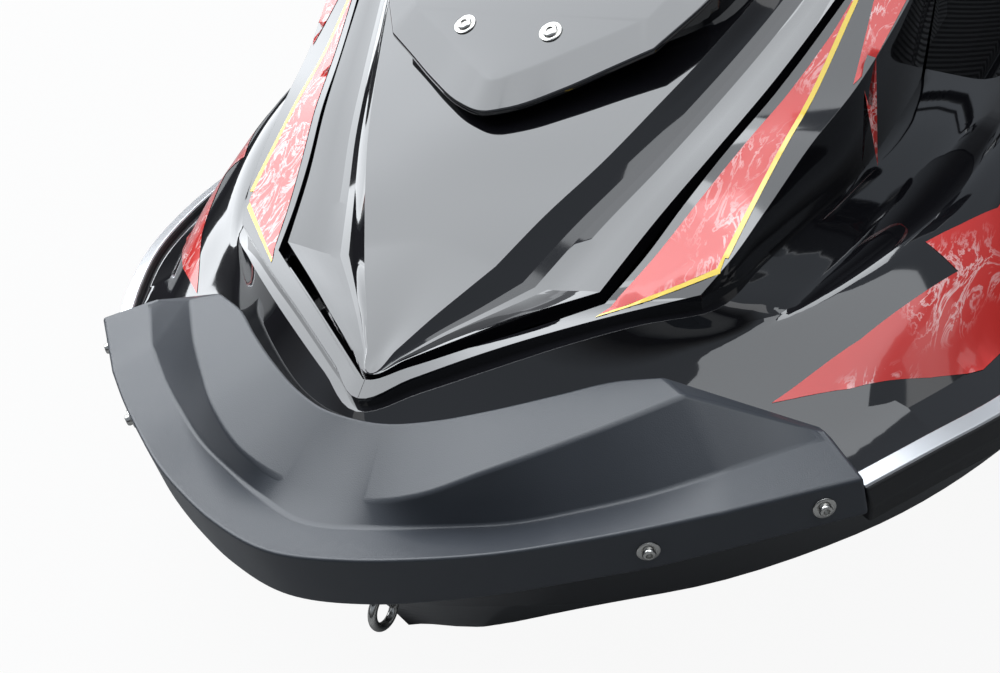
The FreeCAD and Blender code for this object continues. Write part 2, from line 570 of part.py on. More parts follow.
scoop = cut("scoop", bucket_sector("scoop_outside", "{bucket_radius}+{bucket_wall}", "{bucket_half}",
                                   BUCKET_SWEEP, BUCKET_START),
            [bucket_sector("scoop_inside", "{bucket_radius}", "{bucket_half}-{bucket_wall}",
                           BUCKET_SWEEP + 4, BUCKET_START - 2)])
ears = cut("bucket_ears", rod("ear_disc", "18", "2*{bucket_half}", "-{bucket_half}", bucket_y,
                              "{pump_z}", ALONG_X),
           [rod("ear_clear", "19", "2*({bucket_half}-{bucket_wall})", "-{bucket_half}+{bucket_wall}",
                bucket_y, "{pump_z}", ALONG_X)])
reverse_bucket = cut("reverse_bucket", fuse("bucket_block", [scoop, ears]),
                     [rod("bucket_bore", "{pin_radius}+0.06", "400", "-200", bucket_y, "{pump_z}",
                          ALONG_X)])

plate_form = frames("plate_form", [(y, [(0.01, -262 - 8), (187, -214), (187, -204), (0.01, -250)])
                                   for y in (1236, 1592)])
ride_plate = cut("ride_plate", plate_form, [hull_lines])
grate_bars = [rod(f"grate_bar_{i + 1}", "4", "{intake_length}-14", f"{x}", tunnel_y + "-{intake_length}+8",
                  "-{draft}+9", ALONG_Y) for i, x in enumerate((-50, -25, 0, 25, 50))]
grate_rails = [rod(f"grate_rail_{i + 1}", "6", "2*{intake_half}", "-{intake_half}",
                   tunnel_y + f"-{{intake_length}}*{f}-3", "-{draft}+9", ALONG_X)
               for i, f in enumerate((0.93, 0.03))]
intake_grate = cut("intake_grate", fuse("grate", grate_bars + grate_rails), [hull])


# ---------------------------------------------------------------- rub rails, sponsons, eyes
def offset_line(points, out, up):
    """A run of the gunwale moved outward in plan and up."""
    moved = []
    for i, (x, y, z) in enumerate(points):
        one = points[max(i - 1, 0)]
        two = points[min(i + 1, len(points) - 1)]
        run = math.hypot(two[0] - one[0], two[1] - one[1])
        moved.append((x + (two[1] - one[1]) / run * out, y - (two[0] - one[0]) / run * out, z + up))
    return moved


RAIL_PATH = [(466, -1343, 322)] + GUNWALE[5:]
rail_ring = [kinked(offset_line(RAIL_PATH, out, up), [])
             for out, up in ((-4, 7), (17, 4), (22, -16), (17, -38), (-12, -38))]
rail_forms = port_and_starboard("rail", loop_body(rail_ring))
rail_port = cut("rail_port", rail_forms[0], [craft_form])
rail_starboard = cut("rail_starboard", rail_forms[1], [craft_form])

SPONSON = [(548, 930, -70), (572, 990, -66), (574, 1300, -66), (560, 1420, -68)]
sponson_ring = [kinked([(x + out, y, z + up) for x, y, z in SPONSON], [])
                for out, up in ((-60, 24), (0, 20), (8, -14), (-60, -20))]
sponson_forms = port_and_starboard("sponson", loop_body(sponson_ring))
sponson_port = cut("sponson_port", sponson_forms[0], [craft_form, hull_lines])
sponson_starboard = cut("sponson_starboard", sponson_forms[1], [craft_form, hull_lines])


def eye(name, x, y, z):
    """A welded ring that stands out of the hull."""
    ring = doc.addObject("Part::Torus", name + "_ring")
    bind(ring, Radius1="{eye_radius}", Radius2="{eye_wire}")
    put(ring, x, y, z, ALONG_X)
    return cut(name, ring, [craft_form])


bow_eye = eye("bow_eye", "0", "-1531" + KY, "172")
stern_eye_port = eye("stern_eye_port", "300" + KX, STERN_Y + "+10", "20")
stern_eye_starboard = eye("stern_eye_starboard", "-300" + KX, STERN_Y + "+10", "20")


# ---------------------------------------------------------------- bent tubes
def tube(points, radius, bend):
    """A round tube along straight runs joined by arcs of one bend radius."""
    spots = [Vector(*p) for p in points]
    edges = []
    start = spots[0]
    for before, corner, after in zip(spots, spots[1:], spots[2:]):
        back = (before - corner).normalize()
        ahead = (after - corner).normalize()
        half = back.getAngle(ahead) / 2
        reach = bend / math.tan(half)
        inward = (back + ahead).normalize()
        one = corner + back * reach
        two = corner + ahead * reach
        middle = corner + inward * (bend / math.sin(half) - bend)
        edges.append(Part.makeLine(start, one))
        edges.append(Part.Arc(one, middle, two).toShape())
        start = two
    edges.append(Part.makeLine(start, spots[-1]))
    path = Part.Wire(edges)
    ring = Part.Wire(Part.makeCircle(radius, spots[0], spots[1] - spots[0]))
    return path.makePipeShell([ring], True, False)


def tilted(obj):
    """Seat a steering piece, made about the column's top, on the raked column."""
    return put(obj, "0", "{bar_y}" + KY, "{bar_z}", Rotation(Vector(1, 0, 0), -size("bar_rake")))


half_bar = size("bar_half")
grip_in = half_bar - size("grip_length")
BAR_BACK = 62
bar_points = [(half_bar, BAR_BACK + 22, 38), (190, BAR_BACK - 22, 62), (70, 0, 52), (-70, 0, 52),
              (-190, BAR_BACK - 22, 62), (-half_bar, BAR_BACK + 22, 38)]
bar_tube = feature("bar_tube", tube(bar_points, size("bar_tube"), 40))
bar_post = rod("bar_post", "26", "50")
bar_clamp = box("bar_clamp", "110", "50", "34", "-55", "-25", "34")
handlebar_form = fuse("handlebar_form", [bar_tube, bar_post, bar_clamp])
handlebar = tilted(doc.addObject("Part::Feature", "handlebar"))
pad_form = frames("handlebar_pad", [(-52, [(70, 70), (66, 96), (48, 108)]), (0, [(96, 70), (92, 104), (62, 118)]),
                                    (52, [(84, 70), (80, 96), (56, 106)])])
handlebar_pad = tilted(pad_form)


def along_grip(side, inner, outer, start, length):
    """A sleeve about the bar's end run."""
    end = Vector(side * bar_points[0][0], bar_points[0][1], bar_points[0][2])
    inboard = Vector(side * bar_points[1][0], bar_points[1][1], bar_points[1][2])
    run = (inboard - end).normalize()
    where = end + run * start
    solid = Part.makeCylinder(outer, length, where, run)
    if inner:
        solid = solid.cut(Part.makeCylinder(inner, length + 2, where - run, run))
    return solid


tube_radius = size("bar_tube")
grips = {}
levers = {}
for side, sign in (("port", 1), ("starboard", -1)):
    sleeve = along_grip(sign, tube_radius, size("grip_radius"), 0, size("grip_length") + 3)
    knob = along_grip(sign, 0, size("grip_radius") + 3, -14, 14)
    grips[side] = tilted(feature("grip_" + side, sleeve.fuse(knob).removeSplitter()))
    perch = along_grip(sign, tube_radius, 21, size("grip_length") + 5, 26)
    bar = along_grip(sign, 0, tube_radius, -20, 200)
    blade = tube([(sign * (grip_in - 14), 52, 52), (sign * (grip_in - 10), 18, 49), (sign * (grip_in + 6), -8, 47),
                  (sign * (half_bar - 30), 30, 38)], 5, 14)
    levers[side] = perch.fuse(blade).cut(bar).removeSplitter()
throttle_lever = tilted(feature("throttle_lever", levers["starboard"]))
reverse_lever = tilted(feature("reverse_lever", levers["port"]))
steering_column = rod("steering_column", "24", "120")
put(steering_column, "0", "{bar_y}" + KY + "-53", "{bar_z}-118", Rotation(Vector(1, 0, 0), -size("bar_rake")))


# ---------------------------------------------------------------- mirrors, seats, handles, step
def mirror(sign):
    """A housing on a stalk, beside the hood's back corner."""
    middle = Vector(at(sign * 452, 0, 0).x, at(0, -800, 0).y, 735)
    housing = Part.makeBox(170, 62, 100, middle - Vector(85, 40, 50))
    housing = housing.makeFillet(24, [e for e in housing.Edges if e.BoundBox.YMin < middle.y - 30])
    foot = at(sign * 378, -822, 596)
    head = Vector(at(sign * 425, 0, 0).x, at(0, -800, 0).y - 8, 722)
    stalk = Part.makeCone(20, 14, foot.distanceToPoint(head), foot, head - foot)
    return housing.fuse(stalk).removeSplitter()


mirror_port = cut("mirror_port", feature("mirror_form_port", mirror(1)), [fairing_port, console_form])
mirror_starboard = cut("mirror_starboard", feature("mirror_form_starboard", mirror(-1)),
                       [fairing_starboard, console_form])

seat_half = size("seat_half")
front_y, split_y, back_y = size("seat_front_y"), size("seat_split_y"), size("seat_back_y")
gap_y = size("seat_gap") / 2
seat_front_form = frames("seat_front_form", [
    (front_y, [(seat_half - 62, 380), (seat_half - 62, 495), (seat_half - 84, 520)]),
    (front_y + 120, [(seat_half - 30, 380), (seat_half - 30, 500), (seat_half - 62, 535)]),
    (front_y + 380, [(seat_half, 370), (seat_half, 490), (seat_half - 36, 535)]),
    (split_y - gap_y, [(seat_half + 8, 360), (seat_half + 8, 520), (seat_half - 34, 572)])])
seat_rear_form = frames("seat_rear_form", [
    (split_y + gap_y, [(seat_half + 8, 350), (seat_half + 8, 560), (seat_half - 30, 612)]),
    (split_y + 160, [(seat_half + 10, 345), (seat_half + 10, 560), (seat_half - 28, 606)]),
    (back_y - 90, [(seat_half - 2, 340), (seat_half - 2, 572), (seat_half - 40, 618)]),
    (back_y, [(seat_half - 40, 340), (seat_half - 40, 540), (seat_half - 70, 590)])])
seat_front = cut("seat_front", seat_front_form, [craft_form, console_form])
seat_rear = cut("seat_rear", seat_rear_form, [craft_form])
handle_y = at(0, back_y + 38, 0).y
grab_form = feature("grab_form", tube(
    [(118, handle_y, 330), (118, handle_y + 8, 470), (-118, handle_y + 8, 470), (-118, handle_y, 330)],
    13, 45))
grab_handle = cut("grab_handle", grab_form, [craft_form])

stern = size("length") / BASE_LENGTH * STERN
pivot_z = size("step_z")
arm_top = pivot_z + size("step_arm")
out_y = stern + size("step_tube") + size("step_gap")
step_half = size("step_half")
step_tube = size("step_tube")
step_frame = tube([(step_half, out_y, pivot_z), (step_half, out_y, arm_top), (-step_half, out_y, arm_top),
                   (-step_half, out_y, pivot_z)], step_tube, 34)
tread = Part.makeBox(2 * step_half - 90, 30, 10, Vector(-step_half + 45, out_y - 15, arm_top - 5))
pins = [Part.makeCylinder(step_tube, 30, Vector(s * step_half - 15, out_y, pivot_z), Vector(1, 0, 0))
        for s in (1, -1)]
bore = Part.makeCylinder(7.06, 2 * step_half + 80, Vector(-step_half - 40, out_y, pivot_z), Vector(1, 0, 0))
boarding_step = feature("boarding_step", step_frame.fuse([tread] + pins).cut(bore).removeSplitter())
brackets = []
for sign in (1, -1):
    for cheek in (-27, 19):
        plate = Part.makeBox(8, out_y - stern + 16, 40, Vector(sign * step_half + cheek, stern, pivot_z - 20))
        brackets.append(plate)
    pin = Part.makeCylinder(7, 54, Vector(sign * step_half - 27, out_y, pivot_z), Vector(1, 0, 0))
    brackets.append(pin)
    base = Part.makeBox(54, 3, 64, Vector(sign * step_half - 27, stern, pivot_z - 32))
    brackets.append(base)
step_bracket_port = feature("step_bracket_port", brackets[0].fuse(brackets[1:4]).removeSplitter())
step_bracket_starboard = feature("step_bracket_starboard", brackets[4].fuse(brackets[5:8]).removeSplitter())

doc.recompute()
handlebar.Shape = handlebar_form.Shape.copy()
tilted(handlebar)
cut("steering_mount", steering_column, [console])
doc.recompute()

NODES = ("hull deck bow_bumper bow_eye stern_eye_port stern_eye_starboard rail_port rail_starboard "
         "fairing_port fairing_starboard hood hood_cowl storage_bin console dash display glovebox_lid "
         "steering_mount handlebar handlebar_pad grip_port grip_starboard throttle_lever reverse_lever "
         "mirror_port mirror_starboard seat_front seat_rear grab_handle mat_port mat_starboard "
         "mat_stern boarding_step step_bracket_port step_bracket_starboard sponson_port "
         "sponson_starboard ride_plate intake_grate pump_housing impeller drive_shaft "
         "steering_nozzle reverse_bucket engine").split()


def check_document():
    """Stop if any object failed, or any piece has no sound shape."""
    failed = [o.Name for o in doc.Objects if "Invalid" in o.State or "Error" in o.State]
    for name in NODES:
        shape = doc.getObject(name).Shape
        if shape.isNull() or not shape.isValid() or shape.Volume <= 0:
            failed.append(name)
    if failed:
        raise SystemExit("failed: " + ", ".join(failed))


check_document()
os.makedirs("parts", exist_ok=True)
for name in NODES:
    obj = doc.getObject(name)
    obj.Label = name
    obj.Shape.exportStep(f"parts/{name}.step")
    bounds = obj.Shape.BoundBox
    print(name, len(obj.Shape.Solids), "solids", round(obj.Shape.Volume / 1e6, 3), "litres",
          [round(v) for v in (bounds.XMin, bounds.XMax, bounds.YMin, bounds.YMax, bounds.ZMin, bounds.ZMax)])
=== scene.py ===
import json
import math
import bmesh
import bpy
from mathutils import Matrix, Vector
from mathutils.bvhtree import BVHTree

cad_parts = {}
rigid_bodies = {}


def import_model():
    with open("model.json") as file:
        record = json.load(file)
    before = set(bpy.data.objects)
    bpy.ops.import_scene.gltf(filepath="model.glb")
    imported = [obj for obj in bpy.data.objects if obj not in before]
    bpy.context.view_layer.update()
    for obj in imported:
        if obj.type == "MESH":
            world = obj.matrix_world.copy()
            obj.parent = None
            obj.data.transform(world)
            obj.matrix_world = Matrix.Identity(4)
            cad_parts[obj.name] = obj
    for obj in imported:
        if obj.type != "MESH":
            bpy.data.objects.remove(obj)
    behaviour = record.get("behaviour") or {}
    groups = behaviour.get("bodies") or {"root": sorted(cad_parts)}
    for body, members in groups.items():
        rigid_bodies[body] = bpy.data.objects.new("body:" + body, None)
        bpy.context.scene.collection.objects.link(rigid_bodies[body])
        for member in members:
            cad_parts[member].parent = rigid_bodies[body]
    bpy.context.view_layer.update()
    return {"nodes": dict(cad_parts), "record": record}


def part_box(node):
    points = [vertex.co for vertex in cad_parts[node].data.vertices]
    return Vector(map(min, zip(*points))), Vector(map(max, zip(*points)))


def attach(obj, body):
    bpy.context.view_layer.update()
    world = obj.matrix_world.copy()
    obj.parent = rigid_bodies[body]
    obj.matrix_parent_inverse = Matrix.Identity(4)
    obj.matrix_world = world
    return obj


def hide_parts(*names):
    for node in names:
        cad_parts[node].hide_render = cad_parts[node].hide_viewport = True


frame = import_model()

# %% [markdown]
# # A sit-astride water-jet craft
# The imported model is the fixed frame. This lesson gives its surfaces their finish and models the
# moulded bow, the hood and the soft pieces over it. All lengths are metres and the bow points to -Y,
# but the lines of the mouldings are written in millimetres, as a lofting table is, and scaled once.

MM = 0.001

# %% [markdown]
# ## Camera
# The view is low over the bow from the port side, with a normal lens. The camera is aimed with its own
# three directions, so its roll is part of the matrix.

# %% Camera
CAMERA_PLACE = Vector((0.8632, -2.2899, 1.2847))
CAMERA_AHEAD = Vector((-0.5128, 0.6308, -0.5823)).normalized()
CAMERA_UP = Vector((-0.1560, 0.5985, 0.7858)).normalized()
camera_data = bpy.data.cameras.new("camera")
camera_data.lens = 54
camera_data.sensor_width = 36
camera = bpy.data.objects.new("camera", camera_data)
right = CAMERA_AHEAD.cross(CAMERA_UP).normalized()
up = right.cross(CAMERA_AHEAD)
turn = Matrix((right, up, -CAMERA_AHEAD)).transposed()
camera.matrix_world = Matrix.Translation(CAMERA_PLACE) @ turn.to_4x4()
bpy.context.collection.objects.link(camera)
bpy.context.scene.camera = camera
print("camera at", tuple(round(c, 3) for c in camera.location))

# %% [markdown]
# ## Floor and world
# A floating craft has its floor at the waterline. The floor and the world are white to the eye, but
# the gel coat has to mirror a darker room, so the white is mixed in for camera rays alone. The floor
# keeps a share of its lit colour, which carries the craft's shadow.

# %% Floor and world
FLOOR_HALF = 30.0


def new_material(name):
    """An empty node material with its output, and a short way to add nodes."""
    material = bpy.data.materials.new(name)
    material.use_nodes = True
    material.node_tree.nodes.clear()
    return material, material.node_tree


def node(tree, kind, **values):
    """Add a node; values name its properties or its sockets."""
    made = tree.nodes.new(kind)
    for key, value in values.items():
        if hasattr(made, key):
            setattr(made, key, value)
        else:
            made.inputs[key.replace("_", " ")].default_value = value
    return made


def white_to_the_eye(tree, shader, strength, output_kind, share):
    """Mix a lit shader with a share of plain white for camera rays."""
    path = node(tree, "ShaderNodeLightPath")
    glow = node(tree, "ShaderNodeEmission" if output_kind == "ShaderNodeOutputMaterial"
                else "ShaderNodeBackground", Strength=strength, Color=(1, 1, 1, 1))
    mix = node(tree, "ShaderNodeMixShader")
    output = node(tree, output_kind)
    seen = node(tree, "ShaderNodeMath", operation="MULTIPLY")
    seen.inputs[1].default_value = share
    tree.links.new(path.outputs["Is Camera Ray"], seen.inputs[0])
    tree.links.new(seen.outputs[0], mix.inputs[0])
    tree.links.new(shader.outputs[0], mix.inputs[1])
    tree.links.new(glow.outputs[0], mix.inputs[2])
    tree.links.new(mix.outputs[0], output.inputs["Surface"])


floor_bm = bmesh.new()
bmesh.ops.create_grid(floor_bm, x_segments=1, y_segments=1, size=FLOOR_HALF)
floor_mesh = bpy.data.meshes.new("floor")
floor_bm.to_mesh(floor_mesh)
floor_bm.free()
floor = bpy.data.objects.new("floor", floor_mesh)
bpy.context.collection.objects.link(floor)
floor_material, floor_tree = new_material("floor_white")
floor_shader = node(floor_tree, "ShaderNodeBsdfDiffuse", Color=(0.22, 0.22, 0.22, 1))
white_to_the_eye(floor_tree, floor_shader, 1.06, "ShaderNodeOutputMaterial", 0.88)
floor_mesh.materials.append(floor_material)

bpy.context.scene.view_settings.view_transform = "Standard"
world = bpy.data.worlds.new("studio")
world.use_nodes = True
bpy.context.scene.world = world
world_tree = world.node_tree
world_tree.nodes.clear()
where = node(world_tree, "ShaderNodeTexCoord")
split = node(world_tree, "ShaderNodeSeparateXYZ")
ramp = node(world_tree, "ShaderNodeValToRGB")
ramp.color_ramp.elements[0].position = 0.0
ramp.color_ramp.elements[0].color = (0.03, 0.03, 0.035, 1)
ramp.color_ramp.elements[1].position = 0.55
ramp.color_ramp.elements[1].color = (0.30, 0.33, 0.37, 1)
for position, grey in ((0.12, 0.03), (0.3, 0.12)):
    stop = ramp.color_ramp.elements.new(position)
    stop.color = (grey, grey * 1.04, grey * 1.1, 1)
sky = node(world_tree, "ShaderNodeBackground", Strength=1.0)
world_tree.links.new(where.outputs["Generated"], split.inputs[0])
world_tree.links.new(split.outputs["Z"], ramp.inputs[0])
world_tree.links.new(ramp.outputs[0], sky.inputs[0])
white_to_the_eye(world_tree, sky, 1.0, "ShaderNodeOutputWorld", 1.0)

# %% [markdown]
# ## Soft boxes
# Black gloss has no colour of its own to show, so its shape is read from what it mirrors. A very large
# box over the starboard side lays a broad grey sheen on the hood, a weaker one covers the port slopes,
# and two small ones put short glints on the bumper's edge. Area lights were chosen over a bright sky
# because their edges draw the creases.

# %% Lights


def soft_box(name, place, aim, size_x, size_y, radiance, tint=(1, 1, 1)):
    """An area light whose brightness is given as what a mirror sees."""
    data = bpy.data.lights.new(name, "AREA")
    data.shape = "RECTANGLE"
    data.size = size_x
    data.size_y = size_y
    data.color = tint
    data.energy = radiance * math.pi * size_x * size_y
    lamp = bpy.data.objects.new(name, data)
    lamp.location = place
    lamp.rotation_euler = (Vector(aim) - Vector(place)).to_track_quat("-Z", "Y").to_euler()
    bpy.context.collection.objects.link(lamp)
    return lamp


soft_box("key_box", (-4.9, 1.0, 5.4), (-1.6, -0.6, 0.3), 9.0, 9.0, 4.1, (0.93, 0.965, 1.0))
soft_box("top_box", (1.7, -0.6, 5.6), (0.4, -0.6, 0.3), 3.4, 6.0, 2.0, (0.93, 0.965, 1.0))
soft_box("side_box", (5.5, 0.5, 3.6), (0, -0.8, 0.3), 1.6, 1.4, 0.9)
soft_box("front_box", (-3.0, -5.5, 3.0), (0, -0.8, 0.2), 1.6, 1.0, 0.5)

# %% [markdown]
# ## Finishes
# Gel coat is a hard clear layer over pigment: low roughness, a full coat, and a very faint waviness.
# Moulded plastic is satin with a fine grain. Every recipe is a function, so a piece only picks a name.


# %% Material recipe
def surface(name, colour, roughness, metallic=0.0, coat=0.0, grain=0.0, grain_scale=400.0,
            rough_spread=0.05, colour_spread=0.12, wave=0.0, wave_scale=3.0, coat_rough=0.03):
    """A principled surface with noise in its colour and roughness, and bump at two scales."""
    material, tree = new_material(name)
    place = node(tree, "ShaderNodeTexCoord")
    fine = node(tree, "ShaderNodeTexNoise", Scale=grain_scale, Detail=3.0)
    broad = node(tree, "ShaderNodeTexNoise", Scale=wave_scale, Detail=2.0)
    for texture in (fine, broad):
        tree.links.new(place.outputs["Object"], texture.inputs["Vector"])
    shader = node(tree, "ShaderNodeBsdfPrincipled")
    shader.inputs["Metallic"].default_value = metallic
    shader.inputs["Coat Weight"].default_value = coat
    shader.inputs["Coat Roughness"].default_value = coat_rough
    tint = node(tree, "ShaderNodeMix", data_type="RGBA")
    tint.inputs["A"].default_value = (*[c * (1 - colour_spread) for c in colour], 1)
    tint.inputs["B"].default_value = (*[min(1, c * (1 + colour_spread)) for c in colour], 1)
    tree.links.new(broad.outputs["Fac"], tint.inputs["Factor"])
    tree.links.new(tint.outputs["Result"], shader.inputs["Base Color"])
    spread = node(tree, "ShaderNodeMapRange")
    spread.inputs["To Min"].default_value = max(0.0, roughness - rough_spread)
    spread.inputs["To Max"].default_value = roughness + rough_spread
    tree.links.new(broad.outputs["Fac"], spread.inputs["Value"])
    tree.links.new(spread.outputs["Result"], shader.inputs["Roughness"])
    last = None
    for strength, texture, depth in ((grain, fine, 0.0004), (wave, broad, 0.01)):
        if strength:
            bump = node(tree, "ShaderNodeBump", Strength=strength, Distance=depth)
            tree.links.new(texture.outputs["Fac"], bump.inputs["Height"])
            if last:
                tree.links.new(last.outputs["Normal"], bump.inputs["Normal"])
            last = bump
    if last:
        tree.links.new(last.outputs["Normal"], shader.inputs["Normal"])
    output = node(tree, "ShaderNodeOutputMaterial")
    tree.links.new(shader.outputs[0], output.inputs["Surface"])
    return material


def printed(name, ground, ink):
    """Gloss film in one colour with pale abstract brushwork drawn out along the craft."""
    material, tree = new_material(name)
    place = node(tree, "ShaderNodeTexCoord")
    aim = node(tree, "ShaderNodeMapping")
    aim.inputs["Scale"].default_value = (26, 9, 20)
    aim.inputs["Rotation"].default_value = (0, 0, 0.25)
    wisps = node(tree, "ShaderNodeTexNoise", Scale=1.6, Detail=5.0, Roughness=0.62, Distortion=1.4)
    patches = node(tree, "ShaderNodeTexNoise", Scale=7.0, Detail=1.0)
    tree.links.new(place.outputs["Object"], aim.inputs["Vector"])
    tree.links.new(aim.outputs[0], wisps.inputs["Vector"])
    tree.links.new(place.outputs["Object"], patches.inputs["Vector"])
    edge = node(tree, "ShaderNodeValToRGB")
    for i, (position, grey) in enumerate(((0.47, 0), (0.505, 1))):
        edge.color_ramp.elements[i].position = position
        edge.color_ramp.elements[i].color = (grey, grey, grey, 1)
    thin = edge.color_ramp.elements.new(0.545)
    thin.color = (0, 0, 0, 1)
    where = node(tree, "ShaderNodeValToRGB")
    where.color_ramp.elements[0].position = 0.46
    where.color_ramp.elements[1].position = 0.56
    share = node(tree, "ShaderNodeMath", operation="MULTIPLY")
    tint = node(tree, "ShaderNodeMix", data_type="RGBA")
    tint.inputs["A"].default_value = (*ground, 1)
    tint.inputs["B"].default_value = (*ink, 1)
    tree.links.new(wisps.outputs["Fac"], edge.inputs[0])
    tree.links.new(patches.outputs["Fac"], where.inputs[0])
    tree.links.new(edge.outputs[0], share.inputs[0])
    tree.links.new(where.outputs[0], share.inputs[1])
    tree.links.new(share.outputs[0], tint.inputs["Factor"])
    shader = node(tree, "ShaderNodeBsdfPrincipled")
    shader.inputs["Roughness"].default_value = 0.2
    shader.inputs["Coat Weight"].default_value = 0.6
    tree.links.new(tint.outputs["Result"], shader.inputs["Base Color"])
    output = node(tree, "ShaderNodeOutputMaterial")
    tree.links.new(shader.outputs[0], output.inputs["Surface"])
    return material


finishes = {
    "gelcoat": surface("gelcoat", (0.006, 0.006, 0.0075), 0.05, coat=1.0, rough_spread=0.015,
                       wave=0.012, wave_scale=5.0),
    "bumper": surface("bumper_plastic", (0.042, 0.047, 0.056), 0.36, grain=0.35, grain_scale=900,
                      wave=0.02, wave_scale=14),
    "rail": surface("rail_extrusion", (0.014, 0.014, 0.015), 0.42, grain=0.2),
    "seat_cover": surface("seat_vinyl", (0.02, 0.02, 0.022), 0.48, grain=0.8, grain_scale=260),
    "foam_mat": surface("foam_mat", (0.022, 0.023, 0.025), 0.8, grain=1.0, grain_scale=180),
    "stainless": surface("stainless", (0.62, 0.61, 0.58), 0.18, metallic=1.0, grain=0.1),
    "cast_pump": surface("cast_pump", (0.36, 0.37, 0.38), 0.45, metallic=0.7, grain=0.5, grain_scale=300),
    "moulded": surface("moulded_plastic", (0.016, 0.016, 0.018), 0.5, grain=0.6, grain_scale=600),
    "rubber": surface("grip_rubber", (0.012, 0.012, 0.013), 0.62, grain=0.7, grain_scale=350),
    "display_glass": surface("display_glass", (0.008, 0.012, 0.02), 0.06, coat=1.0),
    "engine_metal": surface("engine_metal", (0.3, 0.31, 0.32), 0.5, metallic=0.8, grain=0.5),
    "decal_red": printed("decal_red", (0.66, 0.032, 0.026), (0.93, 0.6, 0.58)),
    "decal_yellow": surface("decal_yellow", (0.85, 0.6, 0.03), 0.12, coat=0.6),
    "bright_strip": surface("bright_strip", (0.78, 0.79, 0.81), 0.2, metallic=0.6, coat=0.5),
}
slot_of = {row["node"]: row["material_slot"] for row in frame["record"]["subparts"]}
for name, piece in frame["nodes"].items():
    piece.data.materials.clear()
    piece.data.materials.append(finishes[slot_of[name]])
print(len(finishes), "finishes")

# %% [markdown]
# ## Moulded skins
# A moulded skin is drawn as a few lines from bow to stern. Each line becomes a chain of edges,
# neighbouring chains are bridged, the half is mirrored, and a bevel rounds the sharp edges. Bridging
# was chosen over sculpting because the creases stay exactly where the lines are.


# %% Skin helpers
def cubic(spots, steps, kinks=()):
    """Spots joined by smooth curves that stay sharp at the kinks."""
    stops = [0, *kinks, len(spots) - 1]
    run = [spots[0]]
    for low, high in zip(stops, stops[1:]):
        for i in range(low, high):
            one, two = spots[i], spots[i + 1]
            span = (two - one).length
            ahead = leaving(spots, i, low, high) * span
            arrive = leaving(spots, i + 1, low, high) * span
            for step in range(1, steps + 1):
                t = step / steps
                run.append(one * (2 * t**3 - 3 * t**2 + 1) + ahead * (t**3 - 2 * t**2 + t)
                           + two * (3 * t**2 - 2 * t**3) + arrive * (t**3 - t**2))
    return run


def cubic_run(points, steps, kinks=()):
    """A smooth line in metres through points given in millimetres."""
    return cubic([Vector(p) * MM for p in points], steps, kinks)


def across(runs, steps, kinks=()):
    """More runs between runs, so that a sheet is smooth across its lines too."""
    columns = [cubic(list(column), steps, kinks) for column in zip(*runs)]
    return [list(run) for run in zip(*columns)]


def leaving(spots, i, low, high):
    """The direction of a smooth line at one of its points, per metre of run."""
    if i == low:
        if i == 0 and abs(spots[0].x) < 1e-6 and abs(spots[1].x) > 1e-6:
            return Vector((math.copysign(1, spots[1].x), 0, 0))
        return (spots[i + 1] - spots[i]).normalized()
    if i == high:
        return (spots[i] - spots[i - 1]).normalized()
    back = spots[i] - spots[i - 1]
    ahead = spots[i + 1] - spots[i]
    a, b = back.length, ahead.length
    return (back / a * b + ahead / b * a) / (a + b)


def chain(bm, spots):
    """A row of edges through points."""
    verts = [bm.verts.new(p) for p in spots]
    return [bm.edges.new(pair) for pair in zip(verts, verts[1:])]


def link_mesh(name, bm):
    """Turn a finished bmesh into an object of the scene."""
    mesh = bpy.data.meshes.new(name)
    bm.to_mesh(mesh)
    bm.free()
    piece = bpy.data.objects.new(name, mesh)
    bpy.context.collection.objects.link(piece)
    return piece


def moulded(name, rows, ring, both_sides, steps=6, kinks=(), edge=0.0025, segments=3, angle=14):
    """A moulding through lines: bridged, mirrored, with its ends closed and its edges rounded."""
    bm = bmesh.new()
    runs = [points if isinstance(points[0], Vector) else cubic_run(points, steps, kinks)
            for points in rows]
    chains = [chain(bm, run) for run in runs]
    pairs = list(zip(chains, chains[1:]))
    if ring:
        pairs.append((chains[-1], chains[0]))
    for one, two in pairs:
        bmesh.ops.bridge_loops(bm, edges=one + two)
    if both_sides:
        bmesh.ops.mirror(bm, geom=bm.verts[:] + bm.edges[:] + bm.faces[:], axis="X", merge_dist=0.0)
        bmesh.ops.remove_doubles(bm, verts=bm.verts[:], dist=2e-5)
    open_edges = [e for e in bm.edges if e.is_boundary]
    if open_edges:
        bmesh.ops.holes_fill(bm, edges=open_edges, sides=0)
    bmesh.ops.recalc_face_normals(bm, faces=bm.faces[:])
    if bm.calc_volume(signed=True) < 0:
        bmesh.ops.reverse_faces(bm, faces=bm.faces[:])
    for face in bm.faces:
        face.smooth = True
    piece = link_mesh(name, bm)
    if edge:
        rounding = piece.modifiers.new("rounded_edges", "BEVEL")
        rounding.width = edge
        rounding.segments = segments
        rounding.limit_method = "ANGLE"
        rounding.angle_limit = math.radians(angle)
        rounding.harden_normals = True
    return piece


def lower(points, by):
    """The same line, sunk by some millimetres."""
    return [(x, y, z - by) for x, y, z in points]


def dress(piece, body, slot, *nodes):
    """Give a piece the finish named by its slot, attach it to its body and hide the frame nodes it stands
    for.
    """
    piece.data.materials.clear()
    piece.data.materials.append(finishes[slot])
    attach(piece, body)
    if nodes:
        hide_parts(*nodes)
    return piece


# %% [markdown]
# ## Deck
# The deck is one moulding: flange, fender with its soft crest, the slope up to the hood, the seat
# pedestal, two footwells and the stern platform. Boats are lofted from lines that run from bow to
# stern, and that is how it is drawn here: each line below is one such run on the port side.

